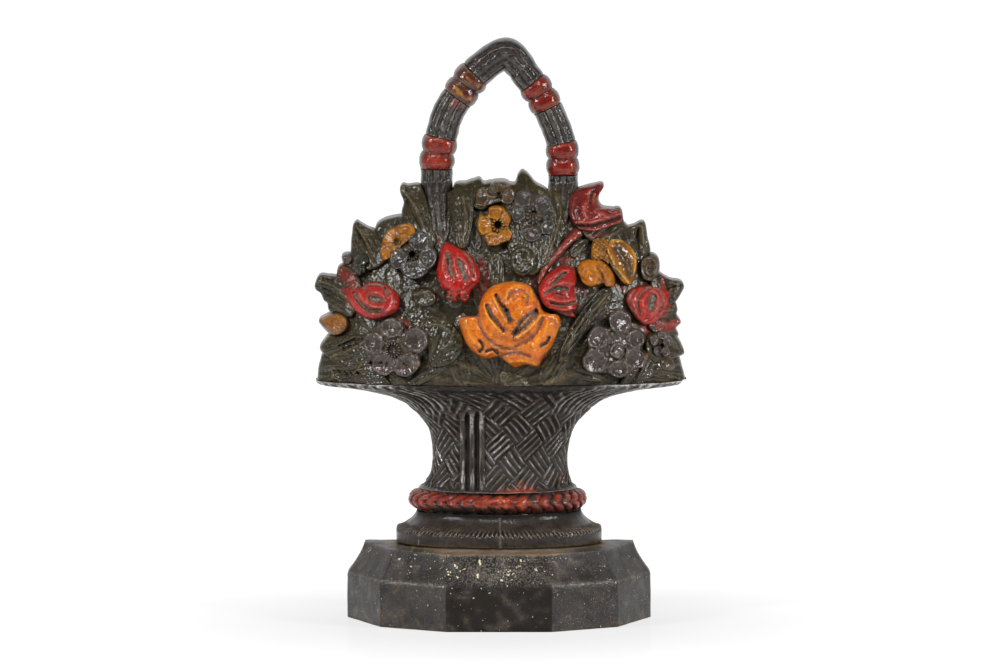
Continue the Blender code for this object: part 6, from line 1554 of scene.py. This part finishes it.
form("oval_leaf_rimmed", "oval_leaf_middle", olive_paint, (9.1, 138.4), traced([
    (4.2, 137.3), (4.6, 141.8), (7.2, 144.3), (10.6, 144.3), (13.7, 142.1), (14, 137.6), (12.5, 134),
    (9.1, 132.1), (5.7, 133.6)], 130), cupped(1.0),
    [(-0.4, 0.4, [(7.6, 141.8), (8.4, 135.1)]), (0.4, 0.4, [(10.6, 142.5), (12.1, 138)])], pitch=0.28)
form("oval_leaf_small", "oval_leaf_left", olive_paint, (-28.4, 124.8), traced([
    (-33.3, 123.9), (-32.6, 126.9), (-29.5, 128.3), (-25.7, 127.8), (-23.5, 125.6), (-23.5, 123),
    (-26.1, 120.8), (-30.3, 121)], 120), cupped(0.7),
    [(0.4, 0.4, [(-32.2, 125.5), (-29.2, 126.6), (-26.1, 125.2)])], pitch=0.28)


# Table, light and camera. A pale table under soft studio light, seen with a long lens from slightly above.
# The table and the world look white to the camera, and light the iron at a plain level. Close round the
# doorstop the table is darker to the camera as painted shade, and in reflections the table glows, a painted
# reflection of a light panel.

table_mesh = bpy.data.meshes.new("table")
table_bm = bmesh.new()
bmesh.ops.create_grid(table_bm, x_segments=8, y_segments=8, size=6.0)
table_bm.to_mesh(table_mesh)
table_bm.free()
table = bpy.data.objects.new("table", table_mesh)
bpy.context.scene.collection.objects.link(table)
table.location.z = -0.0001
pale = bpy.data.materials.new("pale_table")
pale.use_nodes = True
tree = pale.node_tree
table_shader = tree.nodes["Principled BSDF"]
seen_directly = shade(tree, "ShaderNodeLightPath").outputs["Is Camera Ray"]
plug(tree, table_shader.inputs["Base Color"], between(tree, seen_directly, 0.0, 1.0, 0.60, 0.16))
table_shader.inputs["Roughness"].default_value = 0.6
table_shader.inputs["Specular IOR Level"].default_value = 0.0
polish = shade(tree, "ShaderNodeBsdfGlossy")
plug(tree, polish.inputs["Roughness"], between(tree, grain(tree, 60.0), 0.3, 0.7, 0.14, 0.18))
surface = shade(tree, "ShaderNodeMixShader")
surface.inputs["Fac"].default_value = 0.07
plug(tree, surface.inputs[1], table_shader.outputs["BSDF"])
plug(tree, surface.inputs[2], polish.outputs["BSDF"])
glow = shade(tree, "ShaderNodeEmission")
glow.inputs["Color"].default_value = (1.0, 1.0, 1.0, 1.0)
path = shade(tree, "ShaderNodeLightPath")
away = shade(tree, "ShaderNodeVectorMath", operation="LENGTH")
plug(tree, away.inputs[0], shade(tree, "ShaderNodeTexCoord").outputs["Object"])
# painted shade: to the camera the table is darker close round the doorstop
shaded_near_doorstop = between(tree, away.outputs["Value"], 0.06, 0.22, 0.72, 1.0)
direct = sum_of(tree, "MULTIPLY", path.outputs["Is Camera Ray"], shaded_near_doorstop)
# painted reflection: the table glows where the iron reflects it, lightening the undersides
glow_in_reflections = sum_of(tree, "MULTIPLY", path.outputs["Is Glossy Ray"], 0.42)
plug(tree, glow.inputs["Strength"], sum_of(tree, "ADD", direct, glow_in_reflections))
both = shade(tree, "ShaderNodeAddShader")
plug(tree, both.inputs[0], surface.outputs["Shader"])
plug(tree, both.inputs[1], glow.outputs["Emission"])
plug(tree, tree.nodes["Material Output"].inputs["Surface"], both.outputs["Shader"])
table_mesh.materials.append(pale)

world = bpy.data.worlds.new("studio")
bpy.context.scene.world = world
world.use_nodes = True
tree = world.node_tree
ambient = tree.nodes["Background"]
facing = shade(tree, "ShaderNodeSeparateXYZ")
plug(tree, facing.inputs["Vector"], shade(tree, "ShaderNodeTexCoord").outputs["Generated"])
room = between(tree, facing.outputs["Y"], -0.6, 0.6, 0.05, 0.34)
plug(tree, ambient.inputs["Strength"], room)
ambient.inputs["Color"].default_value = (1.0, 1.0, 1.0, 1.0)
backdrop = shade(tree, "ShaderNodeBackground")
backdrop.inputs["Color"].default_value = (1.0, 1.0, 1.0, 1.0)
backdrop.inputs["Strength"].default_value = 1.0
path = shade(tree, "ShaderNodeLightPath")
seen = sum_of(tree, "MAXIMUM", path.outputs["Is Camera Ray"], path.outputs["Is Transmission Ray"])
behind_it = between(tree, facing.outputs["Y"], 0.55, 0.8)
reflected = sum_of(tree, "MULTIPLY", path.outputs["Is Glossy Ray"], 0.36)
seen = sum_of(tree, "MAXIMUM", seen, sum_of(tree, "MULTIPLY", reflected, behind_it))
choice = shade(tree, "ShaderNodeMixShader")
plug(tree, choice.inputs["Fac"], seen)
plug(tree, choice.inputs[1], ambient.outputs["Background"])
plug(tree, choice.inputs[2], backdrop.outputs["Background"])
plug(tree, tree.nodes["World Output"].inputs["Surface"], choice.outputs["Shader"])


light_aim = Vector((0.0, 0.0, 0.1))


def soft_light(name, place, size, power):
    lamp = bpy.data.lights.new(name, "AREA")
    lamp.shape = "RECTANGLE"
    lamp.size, lamp.size_y = size
    lamp.energy = power
    item = bpy.data.objects.new(name, lamp)
    item.location = place
    item.rotation_euler = (light_aim - Vector(place)).to_track_quat("-Z", "Y").to_euler()
    bpy.context.scene.collection.objects.link(item)


soft_light("left_softbox", (-0.95, -0.62, 0.70), (0.18, 0.36), 10.5)
soft_light("right_softbox", (1.0, -0.55, 0.60), (0.18, 0.36), 9.5)
soft_light("top_softbox", (0.0, -0.70, 1.1), (0.4, 0.2), 4.5)

camera_distance = 4.0
camera_rise = math.radians(4.8)
camera_aim = Vector((0.0004, wide_y * millimetre, 0.10935))
camera_data = bpy.data.cameras.new("long_lens")
camera_data.lens = 377.6
camera_data.sensor_width = 36.0
camera_data.clip_end = 50.0
camera = bpy.data.objects.new("long_lens", camera_data)
camera.location = camera_aim + camera_distance * Vector((0.0, -math.cos(camera_rise),
                                                         math.sin(camera_rise)))
camera.rotation_euler = (camera_aim - camera.location).to_track_quat("-Z", "Y").to_euler()
bpy.context.scene.collection.objects.link(camera)
bpy.context.scene.camera = camera
bpy.context.scene.view_settings.view_transform = "Standard"


def plain(box):
    return [[float(value) for value in corner] for corner in box]
